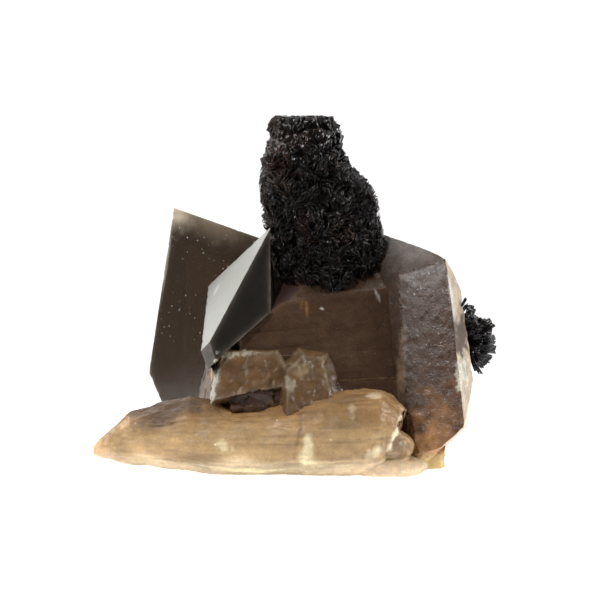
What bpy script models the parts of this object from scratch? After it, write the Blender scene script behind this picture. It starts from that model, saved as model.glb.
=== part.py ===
"""A smoky quartz cluster carrying two sprays of goethite.

The quartz is one solid: five crystals, three broken chips and the massive foot that they
grew from, cut flat underneath. The goethite is two solids, a tall spray standing on the
quartz and a small tuft on its right side. Lengths are in millimetres until the meshes are
made, and the viewer looks along +Y.
"""

import math
import random

import bmesh
import bpy
from mathutils import Matrix, Vector, noise

MM = 0.001
SEED = 11
CUTTER_SIZE = 160.0
CONTACT_GAP = 0.35          # clear space between goethite and quartz
SMALLEST_EDGE = 0.002       # shorter edges left by a cut are closed up

# Each crystal is a block trimmed by flat faces. A face is given by the way it looks,
# as a turn to the right of the viewer's side and a tilt upward in degrees, and by its
# distance from the crystal's centre.
LEFT_CRYSTAL = {
    "centre": (-14.0, 18.0, 20.0),
    "front side": (-19.9, -1.7, 3.0),
    "left side": (-92.8, 9.7, 8.75),
    "tip face": (143.1, 44.3, 8.5),
    "lower left face": (-83.7, -22.9, 13.25),
    "right side": (78.0, -9.0, 12.5),
    "back side": (162.5, 5.5, 3.6),
    "back left side": (-141.5, 5.5, 6.2),
    "foot": (180.0, -90.0, 21.3),
}
POINTED_CRYSTAL = {
    "centre": (-7.0, 2.0, 22.0),
    "tip face": (-77.5, 34.8, 5.3),
    "front left side": (-49.8, 6.5, 11.85),
    "front side": (6.4, 34.3, 7.45),
    "back side": (125.6, -3.3, 1.45),
    "left side": (-99.2, -28.8, 7.05),
    "right side": (84.0, 5.0, 3.6),
    "under side": (-175.0, -32.0, 10.0),
    "contact in front": (0.0, -10.0, 14.0),
    "foot": (33.5, -70.0, 20.0),
}
# Below this face the middle crystal has grown over the pointed one, and only a slimmer
# shaft of it goes on down.
POINTED_OVERGROWTH = (76.6, -44.9, 2.5)
POINTED_SHAFT_FRONT = (6.4, 34.3, 4.4)
POINTED_SHAFT_INSET = 0.2
MIDDLE_CRYSTAL = {
    "centre": (4.0, 4.0, 14.0),
    "front side": (12.4, 16.5, 9.6),
    "tip face": (6.6, 52.4, 13.0),
    "left tip face": (-42.6, 61.4, 14.0),
    "left side": (-72.5, 0.0, 16.0),
    "back left side": (-130.0, 8.0, 6.5),
    "right side": (114.0, 0.0, 12.0),
    "back side": (174.5, 5.5, 9.0),
    "top back face": (180.0, 53.0, 13.5),
    "foot": (180.0, -90.0, 15.0),
}
RIGHT_CRYSTAL = {
    "centre": (18.0, 3.0, 15.0),
    "front side": (-18.5, 14.0, 9.5),
    "smooth tip face": (-40.0, 51.8, 14.6),
    "back tip face": (118.7, 39.7, 9.95),
    "right side": (62.9, 12.3, 9.7),
    "right tip face": (94.7, 25.8, 9.65),
    "far right side": (112.0, 2.0, 4.0),
    "under right side": (80.0, -8.5, 9.1),
    "lower right face": (71.0, -45.5, 12.75),
    "lower front face": (12.0, -52.0, 17.6),
    "left side": (-63.2, 4.5, 6.85),
    "back side": (174.5, 3.0, 9.0),
    "back left side": (-127.0, 0.0, 12.0),
    "foot": (180.0, -90.0, 16.6),
}
OLIVE_CHIP = {
    "centre": (-6.0, -4.0, 9.0),
    "front side": (9.3, 20.8, 7.15),
    "left side": (-78.1, 13.6, 8.1),
    "top side": (16.9, 81.5, 9.0),
    "under side": (25.8, -54.1, 0.95),
    "right side": (69.1, 39.3, 8.2),
    "back side": (180.0, 0.0, 5.0),
    "foot": (180.0, -90.0, 4.0),
}
DARK_CHIP = {
    "centre": (-6.0, -4.0, 8.0),
    "front side": (8.0, -18.0, 5.6),
    "left side": (-70.0, 5.0, 6.2),
    "right side": (70.0, 10.0, 7.6),
    "top side": (0.0, 80.0, 3.2),
    "back side": (180.0, 0.0, 5.0),
    "foot": (180.0, -90.0, 4.0),
}
PALE_CHIP = {
    "centre": (1.0, -4.0, 8.0),
    "front side": (11.3, 26.8, 8.1),
    "left side": (-70.0, 10.0, 6.0),
    "top left side": (-53.5, 52.8, 9.15),
    "top side": (43.5, 74.0, 9.5),
    "right side": (66.6, 23.7, 6.9),
    "back side": (180.0, 0.0, 5.0),
    "foot": (180.0, -90.0, 1.5),
}
MASSIVE_FOOT = {
    "centre": (-4.0, 9.0, 5.0),
    "front side": (-10.0, 12.0, 12.0),
    "left side": (-84.0, 22.0, 11.5),
    "back left side": (-140.0, 18.0, 11.8),
    "back side": (172.0, 24.0, 10.4),
    "back right side": (128.0, 20.0, 17.5),
    "right side": (82.0, 10.0, 18.4),
    "top side": (190.0, 74.0, 6.6),
    "foot": (180.0, -90.0, 6.9),
}

# Low growth steps on the front of the middle crystal: how far each stands proud of the
# face, and how far below the tip edge it starts. Each is narrower than the crystal.
GROWTH_STEPS = ((0.22, 2.0), (0.46, 5.1), (0.72, 8.6))
GROWTH_STEP_INSET = 0.17
GROWTH_LEDGE = (4.0, 76.0, 10.3)         # the ledge on top of the first step, before its drop
GROWTH_LEDGE_TURN = 2.0                  # how far each next ledge is turned

# The long milky crystal lies along X: station, lowest and highest point, and half depth.
LONG_CRYSTAL_STATIONS = (
    (-30.2, 2.4, 3.6, 0.7),
    (-28.9, 1.9, 5.2, 2.0),
    (-26.7, 1.5, 7.1, 3.2),
    (-24.6, 1.3, 8.7, 4.0),
    (-21.4, 1.1, 9.5, 4.8),
    (-16.0, 0.3, 11.1, 5.8),
    (-12.9, -0.4, 10.5, 6.1),
    (-9.6, -0.5, 9.2, 6.3),
    (-5.0, -0.6, 9.4, 6.3),
    (0.0, -0.6, 10.5, 6.3),
    (4.6, -0.6, 11.2, 6.4),
    (8.9, -0.7, 11.5, 6.3),
    (11.9, -0.6, 11.7, 6.0),
    (13.8, -0.3, 10.6, 5.3),
    (15.3, 0.7, 9.2, 4.0),
)
LONG_CRYSTAL_Y = -9.0
LONG_CRYSTAL_SECTION = (14.0, 58.0, 96.0, 128.0, 163.0, 199.0, 236.0, 270.0, 305.0, 340.0)
LONG_CRYSTAL_ROUGHNESS = 0.28
LONG_CRYSTAL_WEAR_SCALE = 0.42
# Towards its right end it is broken off aslant: lower points lie farther left.
LONG_CRYSTAL_LEAN = 0.34
LONG_CRYSTAL_LEAN_FROM = 8.9
# Rounded growths on its broken end, each a centre and three radii.
LONG_CRYSTAL_LUMPS = (
    ((13.3, -10.5, 4.1), (3.1, 3.3, 2.4)),
    ((12.8, -10.6, 1.0), (5.8, 3.6, 1.6)),
)

# The tall spray: height, left and right edge, front and back edge of its outline.
TALL_SPRAY_RINGS = (
    (51.7, -3.9, 5.0, 1.4, 9.4),
    (49.4, -4.1, 6.0, 0.4, 10.2),
    (47.0, -4.9, 6.2, -0.2, 10.8),
    (44.2, -5.7, 7.7, -1.0, 11.8),
    (42.2, -6.1, 10.0, -1.8, 12.6),
    (39.6, -5.9, 11.6, -2.4, 13.2),
    (35.8, -5.6, 12.1, -2.8, 13.6),
    (32.4, -4.6, 13.1, -2.8, 13.6),
    (30.2, -4.0, 12.6, -2.6, 13.2),
    (27.4, -3.4, 11.4, -2.8, 12.6),
    (24.4, -2.2, 10.4, -2.2, 11.4),
    (21.0, 0.0, 8.6, 0.0, 9.6),
)
TALL_SPRAY_SIDES = 14
TALL_SPRAY_INSET = 1.0                   # how far the core lies inside the outline
TALL_SPRAY_LUMPS = 0.55                  # how far the core's lumps rise and fall
TALL_SPRAY_LUMP_SCALE = 0.45
TALL_SPRAY_TOP_DROP = 0.6                # how far the core's flat top lies below the blade tips
TALL_SPRAY_BLADE = (2.9, 1.25, 0.5)      # length, width, thickness
TALL_SPRAY_BLADE_COUNT = 190
TALL_SPRAY_TOP_BLADE_COUNT = 26
TALL_SPRAY_FIRST_BLADE = 0.4             # how far below the top the side blades begin
TALL_SPRAY_RISE = 0.75                   # how steeply the side blades point upward
TALL_SPRAY_TOP_REACH = 0.9               # how near the rim the top blades stand

# The tuft on the right side: the tips that its blades reach, as seen from the front.
TUFT_CENTRE = (25.2, 2.2, 18.9)
TUFT_CORE_RADIUS = (1.7, 2.3, 3.0)
TUFT_BLADE = (0.8, 0.36)                 # width, thickness
TUFT_TIPS = (
    (25.3, 0.6, 23.0), (27.9, 0.4, 21.3), (28.9, 1.0, 21.1), (29.3, 2.6, 19.6),
    (29.5, 1.6, 18.4), (29.3, 3.2, 17.2), (28.8, 1.2, 16.6), (28.4, 2.8, 15.2),
    (27.7, 0.8, 14.4), (26.9, 1.8, 13.1), (27.3, -0.8, 17.4), (27.0, -0.6, 20.1),
    (26.8, 4.8, 21.4), (27.6, 5.4, 18.9), (27.0, 5.2, 16.2), (26.2, 3.9, 23.0),
    (28.5, 4.2, 20.4), (28.0, -0.2, 18.9), (25.9, -0.7, 15.4), (26.0, 4.6, 14.3),
)
TUFT_ROOT = (-0.4, 0.0, 0.0)             # where the blades start, from the tuft's centre
TUFT_ROOT_SHARE = 0.12

BLADE_SHOULDER = 0.86                    # where along its length a blade's slanted tip begins
BLADE_POINT = -0.2                       # where across its half width the tip's point is

QUARTZ_LOOK = {"base_color": (0.16, 0.11, 0.075, 1.0), "roughness": 0.28, "metallic": 0.0}
GOETHITE_LOOK = {"base_color": (0.018, 0.016, 0.015, 1.0), "roughness": 0.34, "metallic": 0.35}


def clear_scene():
    for item in list(bpy.data.objects):
        bpy.data.objects.remove(item, do_unlink=True)


def make_material(name, look):
    material = bpy.data.materials.new(name)
    material.use_nodes = True
    shader = material.node_tree.nodes["Principled BSDF"]
    shader.inputs["Base Color"].default_value = look["base_color"]
    shader.inputs["Roughness"].default_value = look["roughness"]
    shader.inputs["Metallic"].default_value = look["metallic"]
    return material


def mesh_object(name, bm):
    """Puts a bmesh, in millimetres, into a new object of the same size."""
    bmesh.ops.recalc_face_normals(bm, faces=bm.faces[:])
    bmesh.ops.scale(bm, vec=(MM, MM, MM), verts=bm.verts[:])
    mesh = bpy.data.meshes.new(name)
    bm.to_mesh(mesh)
    bm.free()
    item = bpy.data.objects.new(name, mesh)
    bpy.context.collection.objects.link(item)
    return item


def facing(turn, tilt):
    """The direction a face looks in: turn to the right of the viewer's side, tilt upward."""
    turn = math.radians(turn)
    tilt = math.radians(tilt)
    flat = math.cos(tilt)
    return Vector((math.sin(turn) * flat, -math.cos(turn) * flat, math.sin(tilt)))


def trim(bm, point, direction):
    """Cuts away what lies past a plane, and fills the cut."""
    parts = bm.verts[:] + bm.edges[:] + bm.faces[:]
    cut = bmesh.ops.bisect_plane(
        bm, geom=parts, plane_co=point, plane_no=direction, clear_outer=True
    )
    rim = [part for part in cut["geom_cut"] if isinstance(part, bmesh.types.BMEdge)]
    if rim:
        bmesh.ops.edgenet_fill(bm, edges=rim)


def crystal(name, design, grow=0.0):
    """A block trimmed by the crystal's faces, each moved out by grow."""
    centre = Vector(design["centre"])
    bm = bmesh.new()
    bmesh.ops.create_cube(bm, size=CUTTER_SIZE)
    bmesh.ops.translate(bm, vec=centre, verts=bm.verts[:])
    faces = [face for label, face in design.items() if label != "centre"]
    for turn, tilt, distance in faces:
        direction = facing(turn, tilt)
        trim(bm, centre + direction * (distance + grow), direction)
    return mesh_object(name, bm)


def pointed_crystal():
    """The wedge-shaped crystal at the front left, cut back below where it is grown over."""
    tip = dict(POINTED_CRYSTAL)
    tip["overgrowth"] = POINTED_OVERGROWTH
    shaft = dict(POINTED_CRYSTAL)
    shaft["front side"] = POINTED_SHAFT_FRONT
    for label in ("tip face", "left side", "back side", "right side"):
        turn, tilt, distance = shaft[label]
        shaft[label] = (turn, tilt, distance - POINTED_SHAFT_INSET)
    return combine(crystal("pointed_crystal", tip), crystal("pointed_shaft", shaft), "UNION")


def growth_step(number, proud, drop):
    """A thin slab of the middle crystal that stands proud of its front, below its tip."""
    design = {"centre": MIDDLE_CRYSTAL["centre"]}
    for label, (turn, tilt, distance) in list(MIDDLE_CRYSTAL.items())[1:]:
        design[label] = (turn, tilt, distance - GROWTH_STEP_INSET * (number + 1))
    turn, tilt, distance = MIDDLE_CRYSTAL["front side"]
    design["front side"] = (turn, tilt, distance + proud)
    turn, tilt, distance = GROWTH_LEDGE
    design["ledge"] = (turn + GROWTH_LEDGE_TURN * number, tilt, distance - drop)
    return crystal(f"growth_step_{number}", design)


def lofted(name, rings):
    """Joins rings of points, each ring in order round the shape, and closes both ends."""
    bm = bmesh.new()
    loops = [[bm.verts.new(point) for point in ring] for ring in rings]
    count = len(loops[0])
    for lower, upper in zip(loops, loops[1:]):
        for i in range(count):
            j = (i + 1) % count
            bm.faces.new((lower[i], lower[j], upper[j], upper[i]))
    for loop in (loops[0], loops[-1]):
        middle = bm.verts.new(sum((vert.co for vert in loop), Vector()) / count)
        for i in range(count):
            bm.faces.new((loop[i], loop[(i + 1) % count], middle))
    return mesh_object(name, bm)


def ellipsoid(name, centre, radii):
    bm = bmesh.new()
    bmesh.ops.create_icosphere(bm, subdivisions=2, radius=1.0)
    bmesh.ops.scale(bm, vec=radii, verts=bm.verts[:])
    bmesh.ops.translate(bm, vec=centre, verts=bm.verts[:])
    return mesh_object(name, bm)


def long_crystal():
    """A blunt crystal lying on its side, worn to a point at the left and broken at the right."""
    end = LONG_CRYSTAL_STATIONS[-1][0]
    rings = []
    for x, low, high, depth in LONG_CRYSTAL_STATIONS:
        share = max(0.0, (x - LONG_CRYSTAL_LEAN_FROM) / (end - LONG_CRYSTAL_LEAN_FROM))
        ring = []
        for angle in LONG_CRYSTAL_SECTION:
            across = math.cos(math.radians(angle))
            upward = math.sin(math.radians(angle))
            point = Vector((
                x,
                LONG_CRYSTAL_Y + depth * across,
                (low + high) / 2 + (high - low) / 2 * upward,
            ))
            wear = noise.noise_vector(point * LONG_CRYSTAL_WEAR_SCALE) * LONG_CRYSTAL_ROUGHNESS
            point += wear * min(1.0, depth / 3)
            point.x -= (high - point.z) * LONG_CRYSTAL_LEAN * share
            ring.append(point)
        rings.append(ring)
    crystal_body = lofted("long_crystal", rings)
    for number, (centre, radii) in enumerate(LONG_CRYSTAL_LUMPS):
        combine(crystal_body, ellipsoid(f"lump_{number}", centre, radii), "UNION")
    return crystal_body


def baked(item):
    """Replaces an object's mesh by the one its modifiers make."""
    graph = bpy.context.evaluated_depsgraph_get()
    mesh = bpy.data.meshes.new_from_object(item.evaluated_get(graph))
    item.modifiers.clear()
    item.data = mesh
    return item


def combine(item, other, operation):
    """Adds another solid to an object, or cuts it away, and removes the other."""
    modifier = item.modifiers.new("combine", "BOOLEAN")
    modifier.operation = operation
    modifier.solver = "EXACT"
    modifier.use_self = True
    modifier.object = other
    baked(item)
    bpy.data.objects.remove(other, do_unlink=True)
    return item


def close_short_edges(item):
    """Closes up the hair-thin edges that a cut can leave."""
    bm = bmesh.new()
    bm.from_mesh(item.data)
    bmesh.ops.remove_doubles(bm, verts=bm.verts[:], dist=SMALLEST_EDGE * MM)
    bmesh.ops.dissolve_degenerate(bm, edges=bm.edges[:], dist=SMALLEST_EDGE * MM)
    bmesh.ops.triangulate(bm, faces=bm.faces[:])
    bm.to_mesh(item.data)
    bm.free()


def below_ground():
    bm = bmesh.new()
    bmesh.ops.create_cube(bm, size=CUTTER_SIZE)
    bmesh.ops.translate(bm, vec=(0.0, 0.0, -CUTTER_SIZE / 2), verts=bm.verts[:])
    return mesh_object("below_ground", bm)


def quartz_cluster():
    """All the quartz in one solid, cut flat where it rests."""
    cluster = crystal("smoky_quartz_cluster", MIDDLE_CRYSTAL)
    pieces = [
        crystal("left_crystal", LEFT_CRYSTAL),
        pointed_crystal(),
        crystal("right_crystal", RIGHT_CRYSTAL),
        crystal("massive_foot", MASSIVE_FOOT),
        long_crystal(),
        crystal("olive_chip", OLIVE_CHIP),
        crystal("dark_chip", DARK_CHIP),
        crystal("pale_chip", PALE_CHIP),
    ]
    for number, (proud, drop) in enumerate(GROWTH_STEPS):
        pieces.append(growth_step(number, proud, drop))
    for piece in pieces:
        combine(cluster, piece, "UNION")
    combine(cluster, below_ground(), "DIFFERENCE")
    close_short_edges(cluster)
    return cluster


def blade(bm, root, tip, width, thickness, twist):
    """A flat lath from root to tip, with a bevelled end, turned about its own length."""
    along = tip - root
    length = along.length
    turn = along.to_track_quat("Z", "X").to_matrix().to_4x4()
    place = Matrix.Translation(root) @ turn @ Matrix.Rotation(twist, 4, "Z")
    half_w = width / 2
    half_t = thickness / 2
    outline = (
        (-half_w, 0.0),
        (half_w, 0.0),
        (half_w, length * BLADE_SHOULDER),
        (half_w * BLADE_POINT, length),
    )
    front = [bm.verts.new(place @ Vector((x, -half_t, z))) for x, z in outline]
    back = [bm.verts.new(place @ Vector((x, half_t, z))) for x, z in outline]
    bm.faces.new(front)
    bm.faces.new(back[::-1])
    for i in range(4):
        j = (i + 1) % 4
        bm.faces.new((front[j], front[i], back[i], back[j]))


def spray_ring(height, left, right, front, back):
    """One level of the tall spray's core: a lumpy oval a little inside the outline."""
    ring = []
    for i in range(TALL_SPRAY_SIDES):
        angle = 2 * math.pi * i / TALL_SPRAY_SIDES
        out = Vector((math.cos(angle), math.sin(angle), 0.0))
        point = Vector((
            (left + right) / 2 + ((right - left) / 2 - TALL_SPRAY_INSET) * out.x,
            (front + back) / 2 + ((back - front) / 2 - TALL_SPRAY_INSET) * out.y,
            height,
        ))
        lump = noise.noise(point * TALL_SPRAY_LUMP_SCALE) * TALL_SPRAY_LUMPS
        ring.append(point + out * lump)
    return ring


def outline_at(height):
    """The tall spray's outline at any height, between the rings that give it."""
    for upper, lower in zip(TALL_SPRAY_RINGS, TALL_SPRAY_RINGS[1:]):
        if lower[0] <= height <= upper[0]:
            share = (upper[0] - height) / (upper[0] - lower[0])
            return [a + (b - a) * share for a, b in zip(upper, lower)]
    return TALL_SPRAY_RINGS[0]


def spray_edge(height, angle):
    """The point on the tall spray's outline at a height, at an angle round its middle."""
    _, left, right, front, back = outline_at(height)
    return Vector((
        (left + right) / 2 + (right - left) / 2 * math.cos(angle),
        (front + back) / 2 + (back - front) / 2 * math.sin(angle),
        height,
    ))


def tall_spray():
    """The goethite standing on the quartz: a lumpy core covered in fused blades.

    The blades lie up the sides like the scales of a cone, and stand upright on the top.
    """
    length, width, thickness = TALL_SPRAY_BLADE
    rings = [spray_ring(*ring) for ring in TALL_SPRAY_RINGS]
    rings[0] = [point - Vector((0.0, 0.0, TALL_SPRAY_TOP_DROP)) for point in rings[0]]
    spray = lofted("goethite_spray", rings)
    dice = random.Random(SEED)
    bm = bmesh.new()
    top = TALL_SPRAY_RINGS[0][0]
    first = top - TALL_SPRAY_FIRST_BLADE
    bottom = TALL_SPRAY_RINGS[-2][0]
    golden = math.pi * (3 - math.sqrt(5))
    for i in range(TALL_SPRAY_BLADE_COUNT):
        height = first - (first - bottom) * (i + 0.5) / TALL_SPRAY_BLADE_COUNT
        angle = golden * i
        out = Vector((math.cos(angle), math.sin(angle), 0.0))
        sideways = Vector((-out.y, out.x, 0.0)) * dice.uniform(-0.5, 0.5)
        tip = spray_edge(height, angle)
        lean = out * dice.uniform(0.5, 1.0) + sideways + Vector((0.0, 0.0, TALL_SPRAY_RISE))
        lean.normalize()
        size = width * dice.uniform(0.75, 1.25)
        blade(bm, tip - lean * length, tip, size, thickness, dice.uniform(0, math.pi))
    for i in range(TALL_SPRAY_TOP_BLADE_COUNT):
        angle = golden * i
        out = Vector((math.cos(angle), math.sin(angle), 0.0))
        middle = (spray_edge(top, 0.0) + spray_edge(top, math.pi)) / 2
        reach = TALL_SPRAY_TOP_REACH * math.sqrt((i + 0.5) / TALL_SPRAY_TOP_BLADE_COUNT)
        tip = middle.lerp(spray_edge(top, angle), reach)
        tip.z -= dice.uniform(0.0, 0.35)
        root = tip - out * 0.25 - Vector((0.0, 0.0, length * 0.8))
        blade(bm, root, tip, width, thickness, dice.uniform(0, math.pi))
    combine(spray, mesh_object("blades", bm), "UNION")
    for number, design in enumerate((MIDDLE_CRYSTAL, POINTED_CRYSTAL, RIGHT_CRYSTAL, LEFT_CRYSTAL)):
        combine(spray, crystal(f"clearance_{number}", design, grow=CONTACT_GAP), "DIFFERENCE")
    close_short_edges(spray)
    return spray


def tuft():
    """The small goethite tuft on the right side, its blades fanned out from one spot."""
    width, thickness = TUFT_BLADE
    centre = Vector(TUFT_CENTRE)
    core = bmesh.new()
    bmesh.ops.create_icosphere(core, subdivisions=2, radius=1.0)
    bmesh.ops.scale(core, vec=TUFT_CORE_RADIUS, verts=core.verts[:])
    bmesh.ops.translate(core, vec=centre, verts=core.verts[:])
    item = mesh_object("goethite_tuft", core)
    dice = random.Random(SEED + 1)
    bm = bmesh.new()
    for tip in TUFT_TIPS:
        tip = Vector(tip)
        root = centre + (tip - centre) * TUFT_ROOT_SHARE + Vector(TUFT_ROOT)
        blade(bm, root, tip, width * dice.uniform(0.85, 1.25), thickness, dice.uniform(0, math.pi))
    combine(item, mesh_object("tuft_blades", bm), "UNION")
    combine(item, crystal("clearance", RIGHT_CRYSTAL, grow=CONTACT_GAP), "DIFFERENCE")
    close_short_edges(item)
    return item


def keep_largest_body(item):
    """Drops the crumbs that a cut leaves apart from the main body."""
    bm = bmesh.new()
    bm.from_mesh(item.data)
    waiting = set(bm.faces)
    bodies = []
    while waiting:
        body = [waiting.pop()]
        for face in body:
            for edge in face.edges:
                for neighbour in edge.link_faces:
                    if neighbour in waiting:
                        waiting.remove(neighbour)
                        body.append(neighbour)
        bodies.append(body)
    bodies.sort(key=len)
    for body in bodies[:-1]:
        bmesh.ops.delete(bm, geom=body, context="FACES")
    bm.to_mesh(item.data)
    bm.free()


def stand_on_origin(items):
    """Moves everything so that the origin is the middle of the underside of its box."""
    points = [vert.co for item in items for vert in item.data.vertices]
    low = Vector([min(point[i] for point in points) for i in range(3)])
    high = Vector([max(point[i] for point in points) for i in range(3)])
    shift = Vector((-(low.x + high.x) / 2, -(low.y + high.y) / 2, -low.z))
    for item in items:
        item.data.transform(Matrix.Translation(shift))


def main():
    clear_scene()
    noise.seed_set(SEED)                 # without it the long crystal's wear differs every run
    quartz = make_material("smoky_quartz", QUARTZ_LOOK)
    goethite = make_material("goethite", GOETHITE_LOOK)
    items = {quartz_cluster(): quartz, tall_spray(): goethite, tuft(): goethite}
    for item, material in items.items():
        keep_largest_body(item)
        item.data.materials.clear()
        item.data.materials.append(material)
    stand_on_origin(list(items))


main()
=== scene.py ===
import math

import bmesh
import bpy
import numpy as np
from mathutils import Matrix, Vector, geometry, noise


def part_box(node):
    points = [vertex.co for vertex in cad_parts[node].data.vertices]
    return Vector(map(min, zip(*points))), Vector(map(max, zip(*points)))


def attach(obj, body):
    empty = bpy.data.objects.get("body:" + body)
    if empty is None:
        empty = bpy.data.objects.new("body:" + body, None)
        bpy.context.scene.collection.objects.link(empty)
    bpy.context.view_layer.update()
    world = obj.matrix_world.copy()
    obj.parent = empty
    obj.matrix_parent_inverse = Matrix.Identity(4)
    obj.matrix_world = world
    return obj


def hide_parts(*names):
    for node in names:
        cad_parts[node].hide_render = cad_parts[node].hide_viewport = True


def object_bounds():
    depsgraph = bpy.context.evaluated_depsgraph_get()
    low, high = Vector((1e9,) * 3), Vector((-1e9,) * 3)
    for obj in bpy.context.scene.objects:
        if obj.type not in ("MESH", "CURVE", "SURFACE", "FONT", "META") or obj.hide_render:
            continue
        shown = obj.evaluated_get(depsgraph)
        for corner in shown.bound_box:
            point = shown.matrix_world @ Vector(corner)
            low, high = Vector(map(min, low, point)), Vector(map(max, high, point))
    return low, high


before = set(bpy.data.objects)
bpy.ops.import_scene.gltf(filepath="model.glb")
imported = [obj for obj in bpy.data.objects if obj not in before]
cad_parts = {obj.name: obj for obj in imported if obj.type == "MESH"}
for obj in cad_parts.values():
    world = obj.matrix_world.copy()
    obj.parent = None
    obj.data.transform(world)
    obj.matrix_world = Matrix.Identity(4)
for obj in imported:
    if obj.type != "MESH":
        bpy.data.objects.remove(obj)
solidLow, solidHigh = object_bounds()
mm = 0.001

# The cluster's own measures have their origin under the middle of the photographed group.
quartzLow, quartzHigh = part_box("smoky_quartz_cluster")
tuftLow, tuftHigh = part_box("goethite_tuft")
tipOfTuft = 29.529
backOfLeftCrystal = 25.119
home = np.array([tuftHigh.x / mm - tipOfTuft, quartzHigh.y / mm - backOfLeftCrystal, 0.0])
boxLow = np.array(solidLow) / mm - home
boxHigh = np.array(solidHigh) / mm - home
print(f"frame loaded, home at {home.round(3)}")


# Noise and small sums on whole arrays

noiseTable = np.random.default_rng(5).random(4096)
latticeStrides = (73856093, 19349663, 83492791)


def latticeKey(cells, salt=0):
    # One whole number for each cell of a cubic lattice.
    key = cells * latticeStrides
    return key[:, 0] ^ key[:, 1] ^ key[:, 2] ^ salt


def softNoise(points, size, seed=0):
    # Value noise from -1 to 1: random numbers on a cubic lattice, blended smoothly between its corners.
    cell = points / size + seed * 7.31
    base = np.floor(cell).astype(np.int64)
    part = cell - base
    part = part * part * (3 - 2 * part)
    total = np.zeros(len(points))
    for corner in np.ndindex(2, 2, 2):
        key = latticeKey(base + corner)
        weight = np.prod(np.where(corner, part, 1 - part), axis=1)
        total += noiseTable[(key ^ (key >> 12)) & 4095] * weight
    return total * 2 - 1


def layered(points, size, layers=4, seed=0):
    # Soft noise summed over layers, each half the size and half the height of the last.
    total = np.zeros(len(points))
    for layer in range(layers):
        total += softNoise(points, size / 2 ** layer, seed + 3 * layer) / 2 ** layer
    return total


def stretched(points, across, gap, run):
    # Space squeezed to gap along one direction and to run along the others, so noise in it becomes lines.
    across = np.array(across) / np.linalg.norm(across)
    return points / run + np.outer(points @ across, across) * (1 / gap - 1 / run)


def broken(points, size, seed):
    # Chips: each point takes the tilt of the nearest of many scattered centres, so space breaks into flats.
    cell = np.floor(points / size).astype(np.int64)
    best = np.full(len(points), 1e9)
    height = np.zeros(len(points))
    for near in np.ndindex(3, 3, 3):
        here = cell + near - 1
        key = latticeKey(here, seed * 2654435)
        picks = [((key >> shift) ^ (key * (shift + 3))) & 4095 for shift in range(6)]
        dice = noiseTable[np.stack(picks, -1)]
        away = points / size - here - dice[:, :3]
        distance = (away ** 2).sum(axis=1)
        closer = distance < best
        best = np.where(closer, distance, best)
        tilt = (away * (dice[:, 3:] * 2 - 1)).sum(axis=1)
        height = np.where(closer, tilt, height)
    return height


def smoothStep(value):
    # From 0 to 1, flat at both ends.
    value = np.clip(value, 0, 1)
    return value * value * (3 - 2 * value)


def laid(under, over, share):
    # One value laid over another: share is 0 where the first shows and 1 where the second does.
    return under * (1 - share) + over * share


def unit(vectors):
    return vectors / np.maximum(np.linalg.norm(vectors, axis=-1, keepdims=True), 1e-9)


def lessAlong(vectors, direction):
    # What is left of vectors once their part along a direction is taken off.
    return vectors - direction * (vectors * direction).sum(-1, keepdims=True)


def facing(turn, tilt):
    # The direction a face looks in: turn to the right of the viewer's side, tilt upward, in degrees.
    turn, tilt = np.radians(turn), np.radians(tilt)
    return np.stack([np.sin(turn) * np.cos(tilt), -np.cos(turn) * np.cos(tilt), np.sin(tilt)], -1)


def mark(at, size, tint, cover=1.0, turn=0.0, rise=0.0, ragged=0.3, fade=0.3, grain=0.6, frost=None):
    # A stain, crust or flake, or a patch of painted light or shade: an ellipsoid of space whose edge is
    # ragged.
    return dict(at=at, size=size, tint=tint, cover=cover, turn=turn, rise=rise,
                ragged=ragged, fade=fade, grain=grain, frost=frost)


def markMask(points, spot):
    # 1 well inside the ellipsoid, 0 outside: one less the distance in radii, roughened by noise.
    away = points - spot["at"]
    turn = math.radians(spot["turn"])
    along = away[:, 0] * math.cos(turn) + away[:, 2] * math.sin(turn)
    upward = away[:, 2] * math.cos(turn) - away[:, 0] * math.sin(turn)
    radii = np.stack([along, away[:, 1], upward], -1) / spot["size"]
    rough = layered(points, spot["grain"], 3, seed=11) * spot["ragged"]
    return smoothStep((1 - np.linalg.norm(radii, axis=1) + rough) / spot["fade"])


# Meshes from arrays

def placed(name, data):
    # A new object in the scene.
    item = bpy.data.objects.new(name, data)
    bpy.context.scene.collection.objects.link(item)
    return item


def settled(item):
    # The mesh of an object with its modifiers applied.
    return bpy.data.meshes.new_from_object(item.evaluated_get(bpy.context.evaluated_depsgraph_get()))


def newPiece(name, points, corners, sizes, material):
    # corners holds every face's point numbers in one row, and sizes how many each face has.
    mesh = bpy.data.meshes.new(name)
    mesh.vertices.add(len(points))
    mesh.vertices.foreach_set("co", ((points + home) * mm).astype(np.float32).ravel())
    mesh.loops.add(len(corners))
    mesh.loops.foreach_set("vertex_index", corners.astype(np.int32))
    mesh.polygons.add(len(sizes))
    starts = np.concatenate(([0], np.cumsum(sizes)[:-1]))
    mesh.polygons.foreach_set("loop_start", starts.astype(np.int32))
    mesh.update(calc_edges=True)
    mesh.materials.append(material)
    return placed(name, mesh)


def arrayOf(items, field, width=1, kind=np.int32):
    # One number, or one row of numbers, for every point, corner or face of a mesh.
    values = np.zeros(len(items) * width, kind)
    items.foreach_get(field, values)
    return values.reshape(-1, width) if width > 1 else values


def gridQuads(rows, columns):
    # Faces of a grid whose rows close on themselves: a place, the next in its row, and the two above them.
    here = np.arange(rows * columns).reshape(rows, columns)
    beside = np.roll(here, -1, 1)
    return np.stack([here[:-1], beside[:-1], beside[1:], here[1:]], -1).reshape(-1, 4)


def addNumbers(item, name, values, kind="FLOAT", domain="POINT"):
    # Stores an array on the mesh for its material to read.
    layer = item.data.attributes.new(name, kind, domain)
    field = "color" if kind == "FLOAT_COLOR" else "value"
    layer.data.foreach_set(field, np.asarray(values, np.float32).ravel())


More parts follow.
